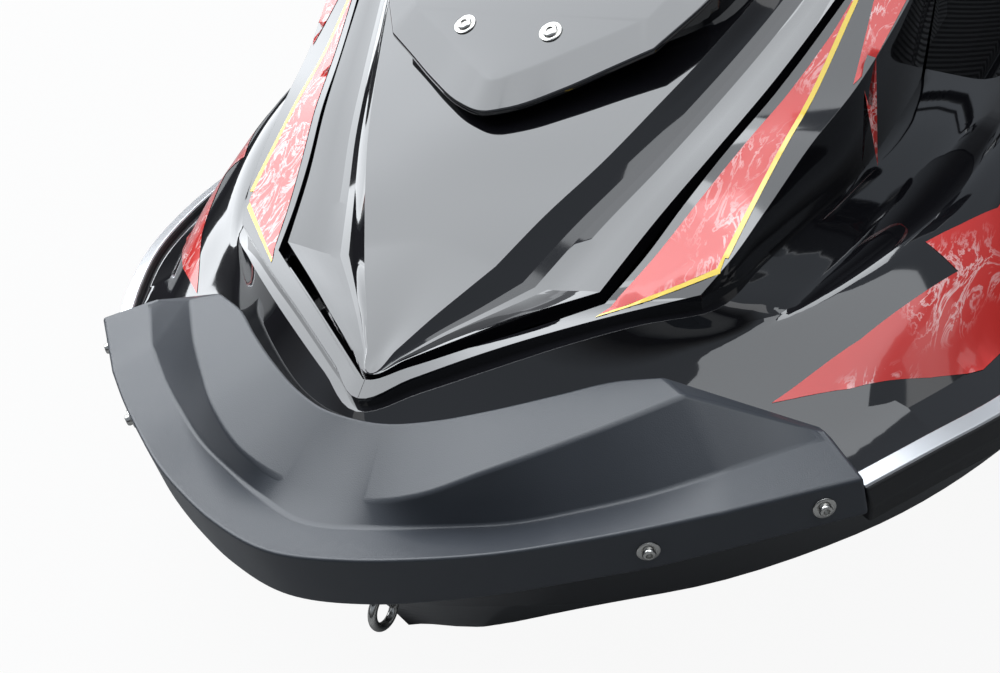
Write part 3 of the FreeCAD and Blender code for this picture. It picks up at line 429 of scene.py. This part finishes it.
# %% Deck lines
STERN = 1600
GUNWALE = [(0, -1612, 330), (150, -1577, 330), (264, -1515, 328), (376, -1437, 326),
           (440, -1378, 324), (500, -1285, 320), (546, -1200, 312), (580, -1085, 300),
           (600, -880, 275), (603, -480, 235), (603, 100, 200), (598, 700, 172),
           (580, 1200, 155), (548, STERN, 150)]
LEDGE = [(0, -1560, 326), (128, -1528, 326), (232, -1470, 324), (335, -1395, 322), (395, -1335, 320),
         (452, -1248, 316), (492, -1172, 308), (528, -1065, 296), (548, -870, 271), (552, -480, 231),
         (552, 100, 196), (546, 700, 168), (528, 1200, 151), (498, STERN, 146)]
TUB = [(0, -1500, 230), (105, -1465, 222), (195, -1405, 205), (280, -1325, 188), (335, -1255, 168),
       (385, -1175, 146), (425, -1095, 122), (455, -1000, 90), (480, -830, 46), (492, -480, 28),
       (494, 100, 20), (490, 700, 18), (472, 1200, 30), (445, STERN, 90)]
TUB_MIDDLE = [(0, -1440, 215), (0, -1390, 205), (0, -1330, 188), (0, -1260, 168), (0, -1190, 146),
              (0, -1110, 122), (0, -1030, 98), (0, -940, 72), (0, -780, 40), (0, -460, 26),
              (0, 100, 18), (0, 700, 16), (0, 1200, 28), (0, STERN, 88)]
FLANGE = [(0, -1568, 343), (138, -1536, 343), (242, -1478, 341), (350, -1402, 338),
          (408, -1345, 335), (466, -1262, 330), (508, -1182, 324), (544, -1075, 313),
          (564, -875, 290), (568, -480, 250), (568, 100, 215), (562, 700, 187),
          (544, 1200, 172), (514, STERN, 168)]
SHOULDER = [(0, -1537, 357), (125, -1503, 357), (218, -1446, 356), (315, -1366, 356),
            (368, -1304, 362), (424, -1225, 378), (466, -1148, 380), (505, -1045, 375),
            (530, -860, 362), (538, -470, 330), (540, 100, 295), (532, 700, 258),
            (512, 1200, 195), (486, STERN, 174)]
CREST = [(0, -1512, 370), (104, -1478, 371), (186, -1424, 373), (270, -1350, 377), (325, -1282, 388),
         (382, -1198, 402), (425, -1115, 410), (462, -1012, 416), (492, -835, 420), (505, -465, 388),
         (508, 100, 345), (500, 700, 300), (480, 1200, 215), (455, STERN, 180)]
DIP = [(0, -1487, 383), (82, -1462, 387), (158, -1418, 391), (234, -1358, 395), (288, -1298, 399),
       (342, -1232, 401), (372, -1150, 400), (398, -1045, 402), (420, -865, 412), (432, -472, 395),
       (440, 100, 355), (436, 700, 315), (425, 1200, 235), (415, STERN, 200)]
FOOT = [(0, -1474, 398), (60, -1441, 409), (118, -1406, 421), (185, -1363, 433), (245, -1320, 437),
        (300, -1272, 430), (314, -1190, 426), (332, -1080, 424), (343, -900, 426), (330, -480, 405),
        (345, 100, 360), (352, 700, 330), (352, 1200, 290), (352, STERN, 270)]
MIDDLE = [(0, -1440, 402), (0, -1390, 406), (0, -1340, 410), (0, -1280, 412), (0, -1220, 412),
          (0, -1150, 412), (0, -1060, 412), (0, -960, 412), (0, -780, 412), (0, -430, 408),
          (0, 100, 400), (0, 700, 385), (0, 1200, 370), (0, STERN, 360)]

# %% [markdown]
# ## From lines to the deck's form
# The fender rolls from the flange over a soft crest down to the hood, so extra lines are made between
# its own by curves across it. The underside lines stay plain, because they are never seen.

# %% Deck form
LINE_STEPS = 6
fender = across([cubic_run(points, LINE_STEPS) for points in (FLANGE, SHOULDER, CREST, DIP, FOOT)], 4)
under = [cubic_run(points, LINE_STEPS) for points in (TUB_MIDDLE, TUB, LEDGE, GUNWALE)]
deck = moulded("deck_skin", under + fender + [cubic_run(MIDDLE, LINE_STEPS)], False, True, edge=0)


# %% [markdown]
# ## Wells
# The footwells, the bin's opening, the engine bay and the stern platform are cut out of the closed form.
# An exact boolean is safe here because both the form and each block are closed, and afterwards a bevel
# rounds every cut edge as a mould would.

# %% Wells cut in the deck
def block(name, low, high, rounding, top_open=True):
    """A rounded block between two corners, for cutting a well."""
    bm = bmesh.new()
    bmesh.ops.create_cube(bm, size=1.0)
    centre = (Vector(low) + Vector(high)) / 2
    size = Vector(high) - Vector(low)
    bmesh.ops.scale(bm, verts=bm.verts, vec=size)
    bmesh.ops.translate(bm, verts=bm.verts, vec=centre)
    edges = [e for e in bm.edges if not (top_open and all(v.co.z > centre.z for v in e.verts))]
    if rounding:
        bmesh.ops.bevel(bm, geom=edges, offset=rounding, segments=4, affect="EDGES", profile=0.5,
                        material=-1)
    return link_mesh(name, bm)


def carve(piece, tools):
    """Cut blocks out of a piece and keep the result as its mesh."""
    for tool in tools:
        step = piece.modifiers.new("cut", "BOOLEAN")
        step.operation = "DIFFERENCE"
        step.solver = "EXACT"
        step.object = tool
    graph = bpy.context.evaluated_depsgraph_get()
    result = bpy.data.meshes.new_from_object(piece.evaluated_get(graph))
    piece.modifiers.clear()
    piece.data = result
    for tool in tools:
        bpy.data.objects.remove(tool)
    return piece


def round_edges(piece, width, angle=30, segments=3):
    """Round the sharp edges of a finished mesh and shade it smooth."""
    for face in piece.data.polygons:
        face.use_smooth = True
    rounding = piece.modifiers.new("rounded_edges", "BEVEL")
    rounding.width = width
    rounding.segments = segments
    rounding.limit_method = "ANGLE"
    rounding.angle_limit = math.radians(angle)
    rounding.harden_normals = True
    return piece


mat_low, mat_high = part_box("mat_port")
WELL_MARGIN = 0.008
BIN_GAP = 0.001
BAY_GAP = 0.012
WELL_TOP = 0.8
WELL_REACH = 0.6
CORNER = 0.03
wells = []
for sign in (1, -1):
    xs = sorted((sign * (mat_low[0] - WELL_MARGIN), sign * (mat_high[0] + WELL_MARGIN)))
    wells.append(block(f"well_{sign}", (xs[0], mat_low[1] - WELL_MARGIN, mat_low[2]),
                       (xs[1], mat_high[1] + WELL_MARGIN, mat_low[2] + WELL_REACH), CORNER))
bin_low, bin_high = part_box("storage_bin")
stern_low, stern_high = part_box("mat_stern")
wells.append(block("bin_well", (bin_low[0] - BIN_GAP, bin_low[1] - BIN_GAP, bin_low[2]),
                   (bin_high[0] + BIN_GAP, bin_high[1] + BIN_GAP, WELL_TOP), 0))
wells.append(block("platform_cut", (-WELL_TOP, stern_low[1] - WELL_MARGIN, stern_low[2]),
                   (WELL_TOP, stern_high[1] + 0.4, WELL_TOP), 0))
engine_low, engine_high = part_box("engine")
wells.append(block("engine_bay", (engine_low[0] - BAY_GAP, engine_low[1] - BAY_GAP, engine_low[2]),
                   [edge + BAY_GAP for edge in engine_high], 0))
HOOD_WELL_FLOOR = 0.396
HOOD_WELL_HEIGHT = 0.3
HOOD_WELL = [(0, -1446), (200, -1310), (325, -880), (325, -802),
             (-325, -802), (-325, -880), (-200, -1310)]
well_bm = bmesh.new()
ring = [well_bm.verts.new((x * MM, y * MM, HOOD_WELL_FLOOR)) for x, y in HOOD_WELL]
bottom = well_bm.faces.new(ring)
lifted = bmesh.ops.extrude_face_region(well_bm, geom=[bottom])
raised_ring = [item for item in lifted["geom"] if isinstance(item, bmesh.types.BMVert)]
bmesh.ops.translate(well_bm, vec=(0, 0, HOOD_WELL_HEIGHT), verts=raised_ring)
bmesh.ops.recalc_face_normals(well_bm, faces=well_bm.faces[:])
wells.append(link_mesh("hood_well", well_bm))
carve(deck, wells)
round_edges(deck, 0.006)
dress(deck, "craft", "gelcoat", "deck")
print("deck faces", len(deck.data.polygons))

# %% [markdown]
# ## The bow bumper
# A moulded bumper is bolted round the bow: an upright rim, a shallow valley behind it and a raised
# shelf that laps the deck. Its lines run from the centre plane to the square-cut end.

# %% Bumper


def aft_end(x, z):
    """A point of the upright plane, square to the gunwale, where the bumper stops."""
    return (x, -1370 - 0.89 * (x - 475), z)


RIM_TOP = [(0, -1640, 366), (83, -1624, 365), (145, -1600, 363), (205, -1571, 361),
           (264, -1535, 359), (320, -1498, 358), (376, -1457, 356), aft_end(475, 348)]
RIM_FOOT = [(0, -1636, 300), (83, -1620, 300), (144, -1597, 302), (204, -1568, 304),
            (262, -1533, 305), (318, -1497, 305), (374, -1456, 306), aft_end(478, 306)]
RIM_VALLEY = [(0, -1585, 350), (70, -1568, 348), (135, -1541, 344), (195, -1514, 342),
              (250, -1482, 345), (300, -1450, 349), (355, -1408, 355), aft_end(430, 352)]
SHELF_EDGE = [(0, -1550, 358), (52, -1550, 362), (108, -1540, 376), (165, -1508, 392),
              (215, -1465, 398), (258, -1424, 402), (308, -1369, 405), aft_end(422, 350)]
SHELF_BACK = [(0, -1478, 394), (40, -1476, 396), (84, -1461, 398), (135, -1434, 401),
              (188, -1400, 404), (235, -1367, 405), (276, -1350, 405), aft_end(414, 347)]
SHELF_UNDER = [(0, -1478, 350), (40, -1476, 350), (84, -1461, 350), (135, -1434, 350),
               (188, -1400, 350), (235, -1367, 350), (276, -1350, 350), aft_end(414, 316)]
RIM_INSIDE = [(0, -1580, 300), (75, -1566, 300), (130, -1545, 302), (185, -1518, 304),
              (240, -1486, 305), (293, -1452, 305), (346, -1413, 306), aft_end(440, 306)]
bumper_rows = [RIM_TOP, RIM_VALLEY, SHELF_EDGE, SHELF_BACK, SHELF_UNDER, RIM_INSIDE, RIM_FOOT]
bumper = moulded("bow_bumper_skin", bumper_rows, True, True, steps=10, kinks=(6,), edge=0.009,
                 segments=4)
dress(bumper, "craft", "bumper", "bow_bumper")

# %% [markdown]
# ## Fairing strips and hood
# Two painted strips flank the hood and meet in a V at the bow. The hood is one crowned panel with a
# crease each side of its middle, and opens with the cowl that is fixed on it.

# %% Fairing strips
FAIRING_IN = [(0, -1449, 419), (39, -1427, 425), (98, -1385, 433), (147, -1352, 440),
              (206, -1312, 449), (224, -1250, 465), (242, -1190, 487), (263, -1124, 512),
              (285, -1047, 534), (308, -963, 564), (330, -880, 598), (345, -800, 632)]
FAIRING_OUT = [(0, -1467, 409), (47, -1437, 420), (113, -1394, 434), (207, -1333, 446),
               (288, -1274, 447), (305, -1231, 464), (318, -1176, 483), (334, -1095, 508),
               (353, -1010, 528), (368, -940, 556), (380, -870, 588), (386, -800, 618)]
FAIRING_FOOT = [(0, -1464, 370), (45, -1434, 370), (110, -1391, 370), (204, -1330, 370),
                (284, -1272, 370), (300, -1231, 370), (312, -1178, 370), (330, -1097, 370),
                (345, -1010, 370), (345, -940, 370), (342, -870, 370), (338, -800, 370)]
FAIRING_UNDER = [(x, y, 370) for x, y, z in FAIRING_IN]
GROOVE_CLOSE = [0, 0, 0, 0, 2, 3, 5, 5, 5, 5, 5, 5]
closer_in = [(x - near, y, z) for (x, y, z), near in zip(FAIRING_IN, GROOVE_CLOSE)]
closer_under = [(x, y, FAIRING_UNDER[0][2]) for x, y, z in closer_in]
for side, sign in (("port", 1), ("starboard", -1)):
    rows = [[(sign * x, y, z) for x, y, z in line]
            for line in (closer_in, FAIRING_OUT, FAIRING_FOOT, closer_under)]
    strip = moulded(f"fairing_{side}_skin", rows, True, False, kinks=(4,), edge=0.003)
    dress(strip, "craft", "gelcoat", f"fairing_{side}")

# %% [markdown]
# ## Hood panel
# The hood has a gently crowned middle between two creases, and a shallow hollow outside each. The
# crease is lifted and the hollow lowered by a few millimetres that grow from nothing at the bow, so
# the two bright lines run out of its point.

# %% Hood
HOOD_EDGE = [(0, -1441, 419), (33, -1420, 428), (77, -1389, 438), (123, -1355, 447),
             (193, -1303, 455), (216, -1216, 484), (244, -1128, 515), (271, -1038, 543),
             (292, -960, 570), (311, -880, 600), (326, -808, 628)]
HOOD_CREASE = [(0, -1440, 420), (18, -1412, 430), (40, -1375, 443), (60, -1344, 453),
               (82, -1307, 465), (112, -1250, 491), (148, -1180, 516), (178, -1110, 541),
               (208, -1035, 567), (236, -955, 596), (258, -808, 642)]
HOOD_MIDDLE = [(0, -1438, 421), (0, -1405, 432), (0, -1370, 446), (0, -1332, 461), (0, -1292, 477),
               (0, -1235, 502), (0, -1165, 533), (0, -1095, 558), (0, -1015, 588), (0, -925, 618),
               (0, -808, 660)]
hood_edge = [(x + near, y, z) for (x, y, z), near in zip(HOOD_EDGE, GROOVE_CLOSE)]
HOOD_SKIN = 16
HOOD_RISE = 5
HOOD_VALLEY_DROP = 9
HOOD_VALLEY_SHARE = 0.24


def swell(count, amount):
    """Amounts that grow from nothing at the bow to their full value aft."""
    return [amount * min(1, i / 3) for i in range(count)]


def hood_valley():
    """The hollow just outboard of the crease."""
    drops = swell(len(HOOD_CREASE), HOOD_VALLEY_DROP)
    return [tuple(a + (b - a) * HOOD_VALLEY_SHARE - (drop if axis == 2 else 0)
                  for axis, (a, b) in enumerate(zip(crease, edge)))
            for crease, edge, drop in zip(HOOD_CREASE, hood_edge, drops)]


rises = swell(len(HOOD_CREASE), HOOD_RISE)
raised_crease = [(x, y, z + rise) for (x, y, z), rise in zip(HOOD_CREASE, rises)]
top_sheet = across([cubic_run(points, 8, (4,))
                    for points in (HOOD_MIDDLE, raised_crease, hood_valley(), hood_edge)], 6, (1,))
under_sheet = [[spot - Vector((0, 0, HOOD_SKIN * MM)) for spot in run] for run in reversed(top_sheet)]
hood = moulded("hood_skin", top_sheet + under_sheet, False, True, edge=0.0028, angle=9, segments=4)
dress(hood, "hood_lid", "gelcoat", "hood")

# %% [markdown]
# ## Cowl
# A raised nose with a bevelled rim covers the back of the hood. Under its lip an air slot runs in to a
# throat. It is drawn with the same kind of lines as the hood, closed into a ring.

# %% Cowl
COWL_MIDDLE = [(0, -1130, 577), (0, -1112, 584), (0, -1090, 593), (0, -1068, 602), (0, -1045, 612),
               (0, -1000, 631), (0, -930, 662), (0, -860, 692), (0, -812, 712)]
COWL_FACET = [(0, -1132, 576), (24, -1120, 580), (74, -1088, 591), (118, -1060, 602),
              (148, -1040, 610), (172, -990, 632), (190, -925, 662), (202, -860, 690), (208, -812, 706)]
COWL_LIP = [(0, -1163, 556), (30, -1155, 558), (82, -1126, 568), (126, -1097, 580), (165, -1072, 591),
            (204, -1010, 618), (230, -935, 650), (246, -865, 676), (254, -812, 692)]
COWL_THROAT = [(0, -1095, 566), (24, -1088, 568), (66, -1062, 576), (106, -1040, 586),
               (150, -1035, 592), (196, -1000, 610), (224, -928, 642), (240, -860, 668), (248, -812, 684)]
cowl_rows = [COWL_MIDDLE, COWL_FACET, COWL_LIP, lower(COWL_LIP, 6), COWL_THROAT, lower(COWL_THROAT, 40)]
cowl = moulded("hood_cowl_skin", cowl_rows, False, True, kinks=(4,), edge=0.002, angle=6)
dress(cowl, "hood_lid", "gelcoat", "hood_cowl")

# %% [markdown]
# ## Stripes
# A stripe is printed film: an outline laid over the moulding from above, cut into small facets so
# that it follows the curve, and lifted by a little over half a millimetre. The pale brushwork on the
# red film is a plain abstract pattern of noise drawn out along the craft.

# %% Printed film
FILM_LIFT = 0.0006
FILM_STEP = 0.012


def film(name, outline, over, body, slot):
    """Lay a flat outline over pieces from above and keep it just clear of their surface."""
    graph = bpy.context.evaluated_depsgraph_get()
    trees = [BVHTree.FromObject(piece, graph) for piece in over]
    bm = bmesh.new()
    bm.faces.new([bm.verts.new((x * MM, y * MM, 0)) for x, y in outline])
    for axis in (0, 1):
        values = [v.co[axis] for v in bm.verts]
        count = int((max(values) - min(values)) / FILM_STEP)
        normal = Vector((1, 0, 0)) if axis == 0 else Vector((0, 1, 0))
        for i in range(1, count + 1):
            bmesh.ops.bisect_plane(bm, geom=bm.verts[:] + bm.edges[:] + bm.faces[:],
                                   plane_co=normal * (min(values) + i * FILM_STEP), plane_no=normal)
    bmesh.ops.triangulate(bm, faces=bm.faces[:])
    lost = []
    for vert in bm.verts:
        found = [tree.ray_cast(Vector((vert.co.x, vert.co.y, 1)), Vector((0, 0, -1))) for tree in trees]
        found = [hit for hit in found if hit[0] is not None]
        if not found:
            lost.append(vert)
            continue
        spot, facing = max(found, key=lambda hit: hit[0].z)[:2]
        vert.co = spot + facing * math.copysign(FILM_LIFT, facing.z)
    bmesh.ops.delete(bm, geom=lost, context="VERTS")
    bmesh.ops.recalc_face_normals(bm, faces=bm.faces[:])
    for face in bm.faces:
        if face.normal.z < 0:
            face.normal_flip()
        face.smooth = True
    return dress(link_mesh(name, bm), body, slot)


def both(name, outline, over, body, slot):
    """Lay a film on the port side and its mirror image on the starboard side."""
    for side, sign in (("port", 1), ("starboard", -1)):
        pieces = [bpy.data.objects[part.replace("SIDE", side)] for part in over]
        film(f"{name}_{side}", [(sign * x, y) for x, y in outline], pieces, body, slot)


STRIP_RED = [(204, -1325), (294, -1246), (302, -1160), (311, -1060), (319, -950), (323, -912),
             (313, -963), (291, -1047), (269, -1124), (248, -1190), (230, -1250), (211, -1312)]
STRIP_YELLOW = [(202, -1330), (300, -1248), (307, -1160), (316, -1060), (324, -952), (328, -906),
                (323, -912), (319, -950), (311, -1060), (302, -1160), (294, -1246), (204, -1325)]
FENDER_RED = [(365, -1311), (421, -1223), (478, -1102), (444, -1093), (466, -1054), (490, -1007),
              (500, -900), (498, -700), (520, -860), (528, -1000), (532, -1120), (520, -1168),
              (483, -1211), (425, -1268)]
SHOULDER_RED = [(349, -1009), (359, -985), (368, -930), (378, -868), (383, -806), (350, -806),
                (340, -900)]
both("strip_film", STRIP_RED, ["fairing_SIDE_skin"], "craft", "decal_red")
both("strip_line", STRIP_YELLOW, ["fairing_SIDE_skin"], "craft", "decal_yellow")
both("fender_film", FENDER_RED, ["deck_skin"], "craft", "decal_red")
both("shoulder_film", SHOULDER_RED, ["fairing_SIDE_skin", "deck_skin"], "craft", "decal_red")
print("films laid")


# %% [markdown]
# ## Screws
# Socket screws on washers hold the bumper, and two more hold the cowl. Each is a profile spun about the
# surface's own direction, so it seats squarely on a sloping face.

# %% Screws
WASHER_THICK = 0.0016


def turned(bm, profile, place, along, sides=32):
    """Spin a profile of (radius, height) pairs about a direction from a place, and close its ends."""
    turn = Vector((0, 0, 1)).rotation_difference(Vector(along)).to_matrix().to_4x4()
    seat_matrix = Matrix.Translation(place) @ turn
    own = bmesh.new()
    edges = chain(own, [Vector((radius, 0, height)) for radius, height in profile])
    verts = list({vert for edge in edges for vert in edge.verts})
    bmesh.ops.spin(own, geom=verts + edges, cent=(0, 0, 0), axis=(0, 0, 1), angle=2 * math.pi,
                   steps=sides, use_merge=True)
    bmesh.ops.holes_fill(own, edges=[e for e in own.edges if e.is_boundary], sides=0)
    bmesh.ops.recalc_face_normals(own, faces=own.faces[:])
    bmesh.ops.transform(own, matrix=seat_matrix, verts=own.verts[:])
    shape = bpy.data.meshes.new("turned")
    own.to_mesh(shape)
    own.free()
    bm.from_mesh(shape)
    bpy.data.meshes.remove(shape)


def screw_set(name, spots, body, washer, head, head_height, socket, pieces):
    """Washers with domed heads, each seated on the surface behind its spot."""
    graph = bpy.context.evaluated_depsgraph_get()
    trees = [BVHTree.FromObject(piece, graph) for piece in pieces]
    bm = bmesh.new()
    for spot in spots:
        near = [tree.find_nearest(Vector(spot) * MM) for tree in trees]
        place, facing = min(near, key=lambda hit: hit[3])[:2]
        rise = WASHER_THICK
        disc = [(washer, -0.001), (washer, rise * 0.7), (washer - 0.0006, rise), (head * 1.05, rise)]
        dome = [(head, rise * 0.5), (head, rise + head_height * 0.55),
                (head * 0.86, rise + head_height * 0.9), (head * 0.62, rise + head_height),
                (socket, rise + head_height), (socket * 0.95, rise + head_height * 0.35)]
        for profile in (disc, dome):
            turned(bm, profile, place, facing)
    bmesh.ops.recalc_face_normals(bm, faces=bm.faces[:])
    return dress(round_edges(link_mesh(name, bm), 0.0003, 40, 2), body, "stainless")


RIM_SCREWS = [(320, -1497, 330), (449, -1400, 328), (-320, -1497, 330), (-449, -1400, 328)]
screw_set("rim_screws", RIM_SCREWS, "craft", 0.011, 0.0065, 0.0055, 0.0032, [bumper])
COWL_SCREWS = [(-68, -1064, 603), (43, -1068, 603)]
screw_set("cowl_screws", COWL_SCREWS, "hood_lid", 0.013, 0.0085, 0.003, 0.004, [cowl])


# %% [markdown]
# ## Rub rails
# Each rail is a rubber moulding along the gunwale with a bright strip let into its face.

# %% Rub rails
RAIL_PATH = [(458, -1353, 322)] + GUNWALE[5:]
RAIL_SECTION = [(-4, 7), (17, 4), (22, -16), (17, -38), (-12, -38)]
STRIP_SECTION = [(-3, 7.2), (-1, 9.4), (15, 7.4), (16.4, 4.4)]


def beside(points, sign, out, up):
    """A run moved outward in plan and up."""
    moved = []
    for i, (x, y, z) in enumerate(points):
        one = points[max(i - 1, 0)]
        two = points[min(i + 1, len(points) - 1)]
        run_x, run_y = two[0] - one[0], two[1] - one[1]
        run = math.hypot(run_x, run_y)
        moved.append((sign * (x + run_y / run * out), y - run_x / run * out, z + up))
    return moved


for side, sign in (("port", 1), ("starboard", -1)):
    rows = [beside(RAIL_PATH, sign, out, up) for out, up in RAIL_SECTION]
    rail = moulded(f"rail_{side}_skin", rows, True, False, steps=8, edge=0.003, angle=20)
    dress(rail, "craft", "rail", f"rail_{side}")
    rows = [beside(RAIL_PATH, sign, out, up) for out, up in STRIP_SECTION]
    strip = moulded(f"rail_strip_{side}", rows, True, False, steps=8, edge=0.0008, angle=30, segments=2)
    dress(strip, "craft", "bright_strip")

# %% [markdown]
# ## Refined hard parts
# The remaining hard parts keep the frame's own form. Each is a merged copy whose corners are rounded as a
# moulding or casting is, so light runs round every edge.


# %% Refining helper
def refined(node_name, body, slot, width, angle=28, segments=3):
    """A merged, edge-rounded copy of a frame node that stands for it."""
    bm = bmesh.new()
    bm.from_mesh(frame["nodes"][node_name].data)
    bmesh.ops.remove_doubles(bm, verts=bm.verts[:], dist=1e-5)
    bmesh.ops.dissolve_limit(bm, angle_limit=math.radians(1.0), verts=bm.verts[:], edges=bm.edges[:])
    bmesh.ops.recalc_face_normals(bm, faces=bm.faces[:])
    piece = round_edges(link_mesh(f"{node_name}_skin", bm), width, angle, segments)
    return dress(piece, body, slot, node_name)


REFINED = [
    ("console", "craft", "gelcoat", 0.014), ("dash", "craft", "moulded", 0.008),
    ("glovebox_lid", "glovebox", "moulded", 0.005),
    ("mirror_port", "craft", "gelcoat", 0.004), ("mirror_starboard", "craft", "gelcoat", 0.004),
    ("handlebar_pad", "steering_bar", "moulded", 0.008),
    ("throttle_lever", "steering_bar", "moulded", 0.0012),
    ("reverse_lever", "steering_bar", "moulded", 0.0012),
    ("sponson_port", "craft", "moulded", 0.006), ("sponson_starboard", "craft", "moulded", 0.006),
    ("storage_bin", "craft", "moulded", 0.0015), ("grab_handle", "craft", "stainless", 0.002),
    ("boarding_step", "step", "stainless", 0.0015), ("handlebar", "steering_bar", "stainless", 0.0015),
    ("ride_plate", "craft", "cast_pump", 0.002), ("steering_nozzle", "nozzle", "cast_pump", 0.0012),
    ("reverse_bucket", "bucket", "cast_pump", 0.0015), ("impeller", "impeller", "stainless", 0.0006),
]
for node_name, body, slot, width in REFINED:
    refined(node_name, body, slot, width)
print(len(REFINED), "refined parts")

# %% [markdown]
# ## Seats
# Both seats are foam under stretched vinyl. Each starts as an evenly meshed copy of its solid whose
# smoothing draws it a little smaller. It is blown up as cloth with its movement capped, and is then
# given its sewn cross seams.

# %% Padding
FRAMES = 20
MOST = 0.009
SEAT_VOXEL = 0.009
SEAM_DEPTH = 0.006
SEAM_WIDTH = 0.006
SEAT_SIDES_BELOW = 0.4


def seat_mesh(node_name, voxel):
    """An evenly meshed, softened copy of a seat's solid."""
    bm = bmesh.new()
    bm.from_mesh(frame["nodes"][node_name].data)
    bmesh.ops.remove_doubles(bm, verts=bm.verts[:], dist=1e-5)
    bmesh.ops.recalc_face_normals(bm, faces=bm.faces[:])
    piece = link_mesh(f"{node_name}_pad", bm)
    even = piece.modifiers.new("even_mesh", "REMESH")
    even.mode = "VOXEL"
    even.voxel_size = voxel
    soften = piece.modifiers.new("round_off", "SMOOTH")
    soften.factor = 0.5
    soften.iterations = 14
    bake(piece)
    return piece


def bake(piece):
    """Keep what the modifiers make as the piece's own mesh."""
    result = bpy.data.meshes.new_from_object(piece.evaluated_get(bpy.context.evaluated_depsgraph_get()))
    piece.modifiers.clear()
    piece.data = result


def inflate(piece):
    """Blow a cover up as cloth, and cap how far any point moves."""
    rest = [v.co.copy() for v in piece.data.vertices]
    cloth = piece.modifiers.new("cover", "CLOTH")
    cloth.settings.use_pressure = True
    cloth.settings.uniform_pressure_force = 4
    cloth.settings.effector_weights.gravity = 0
    cloth.settings.quality = 4
    scene = bpy.context.scene
    for step in range(1, FRAMES + 1):
        scene.frame_set(step)
    bake(piece)
    scene.frame_set(1)
    for vert, old in zip(piece.data.vertices, rest):
        move = vert.co - old
        if move.length > MOST:
            vert.co = old + move.normalized() * MOST


def seam(piece, y, depth, width, z_from):
    """Draw a sewn channel across a cover: points near its plane sink inward."""
    for vert in piece.data.vertices:
        if vert.co.z < z_from:
            continue
        share = math.exp(-((vert.co.y - y) / width) ** 2)
        vert.co -= vert.normal * (depth * share)


def seat(node_name, seams):
    """A padded seat cover with its sewn cross seams."""
    pad = seat_mesh(node_name, SEAT_VOXEL)
    inflate(pad)
    for y in seams:
        seam(pad, y, SEAM_DEPTH, SEAM_WIDTH, SEAT_SIDES_BELOW)
    for face in pad.data.polygons:
        face.use_smooth = True
    finer = pad.modifiers.new("finer", "SUBSURF")
    finer.levels = finer.render_levels = 1
    dress(pad, "craft", "seat_cover", node_name)
    return pad


seat("seat_front", [0.12, 0.3, 0.45])
seat("seat_rear", [0.72, 0.86, 1.0])

# %% [markdown]
# ## Mats
# The mats are cut foam with grooves across the craft, so a wet foot does not slide aft. One side
# outline with all its ribs is drawn and extruded across, which keeps every rib square.

# %% Mats
RIB_PITCH = 0.017
RIB_WIDE = 0.0105
RIB_SLOPE = 0.0015
RIB_DEEP = 0.0035
MAT_BORDER = 0.004


def ribbed_mat(node_name):
    """A foam base with square-topped ribs, all in one mesh."""
    low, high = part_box(node_name)
    bm = bmesh.new()
    base = high[2] - RIB_DEEP
    profile = [(low[1], low[2]), (low[1], base)]
    y = low[1] + MAT_BORDER
    while y + RIB_WIDE < high[1] - MAT_BORDER:
        profile += [(y, base), (y + RIB_SLOPE, high[2]), (y + RIB_WIDE - RIB_SLOPE, high[2]),
                    (y + RIB_WIDE, base)]
        y += RIB_PITCH
    profile += [(high[1], base), (high[1], low[2])]
    side = bm.faces.new([bm.verts.new((low[0], across_y, height)) for across_y, height in profile])
    drawn = bmesh.ops.extrude_face_region(bm, geom=[side])
    moved = [item for item in drawn["geom"] if isinstance(item, bmesh.types.BMVert)]
    bmesh.ops.translate(bm, vec=(high[0] - low[0], 0, 0), verts=moved)
    bmesh.ops.recalc_face_normals(bm, faces=bm.faces[:])
    return dress(link_mesh(f"{node_name}_skin", bm), "craft", "foam_mat", node_name)


for node_name in ("mat_port", "mat_starboard", "mat_stern"):
    ribbed_mat(node_name)
print("mats ribbed")


# %% [markdown]
# ## Grips
# A rubber grip is a sleeve with fine rings and a flanged end. One profile spun about the bar's end run
# makes all of it.

# %% Grips
BAR_LEAN = 24
COLUMN_TOP = Vector((0, -0.455, 0.705))
BAR_END = (385, 84, 38)
BAR_BEND = (190, 40, 62)
GRIP_SLEEVE = 0.0165
GRIP_FLANGE = 0.0195
RING_RISE = 0.0022
RING_PITCH = 0.0065
RINGS_FROM, RINGS_TO = 0.006, 0.116


def grip(side, sign):
    """A ringed rubber sleeve with a flanged end, turned about the bar's end run."""
    bar_end, bar_bend = [Vector((sign * x * MM, y * MM, z * MM)) for x, y, z in (BAR_END, BAR_BEND)]
    lean = Matrix.Rotation(-math.radians(BAR_LEAN), 3, "X")
    start = COLUMN_TOP + lean @ bar_end
    along = (lean @ (bar_bend - bar_end)).normalized()
    profile = [(0.009, -0.0135), (0.018, -0.0135), (GRIP_FLANGE, -0.0115), (GRIP_FLANGE, -0.001),
               (GRIP_SLEEVE, 0.0)]
    reach = RINGS_FROM
    while reach < RINGS_TO:
        for share, rise in ((0, 0), (0.2, 1), (0.6, 1), (0.8, 0)):
            profile.append((GRIP_SLEEVE - RING_RISE * (1 - rise), reach + share * RING_PITCH))
        reach += RING_PITCH
    profile += [(GRIP_SLEEVE, 0.126), (0.0113, 0.127)]
    bm = bmesh.new()
    turned(bm, profile, start, along, 40)
    bmesh.ops.recalc_face_normals(bm, faces=bm.faces[:])
    for face in bm.faces:
        face.smooth = True
    piece = round_edges(link_mesh(f"grip_{side}_skin", bm), 0.0004, 40, 2)
    return dress(piece, "steering_bar", "rubber", f"grip_{side}")


grip("port", 1)
grip("starboard", -1)
print("grips turned")
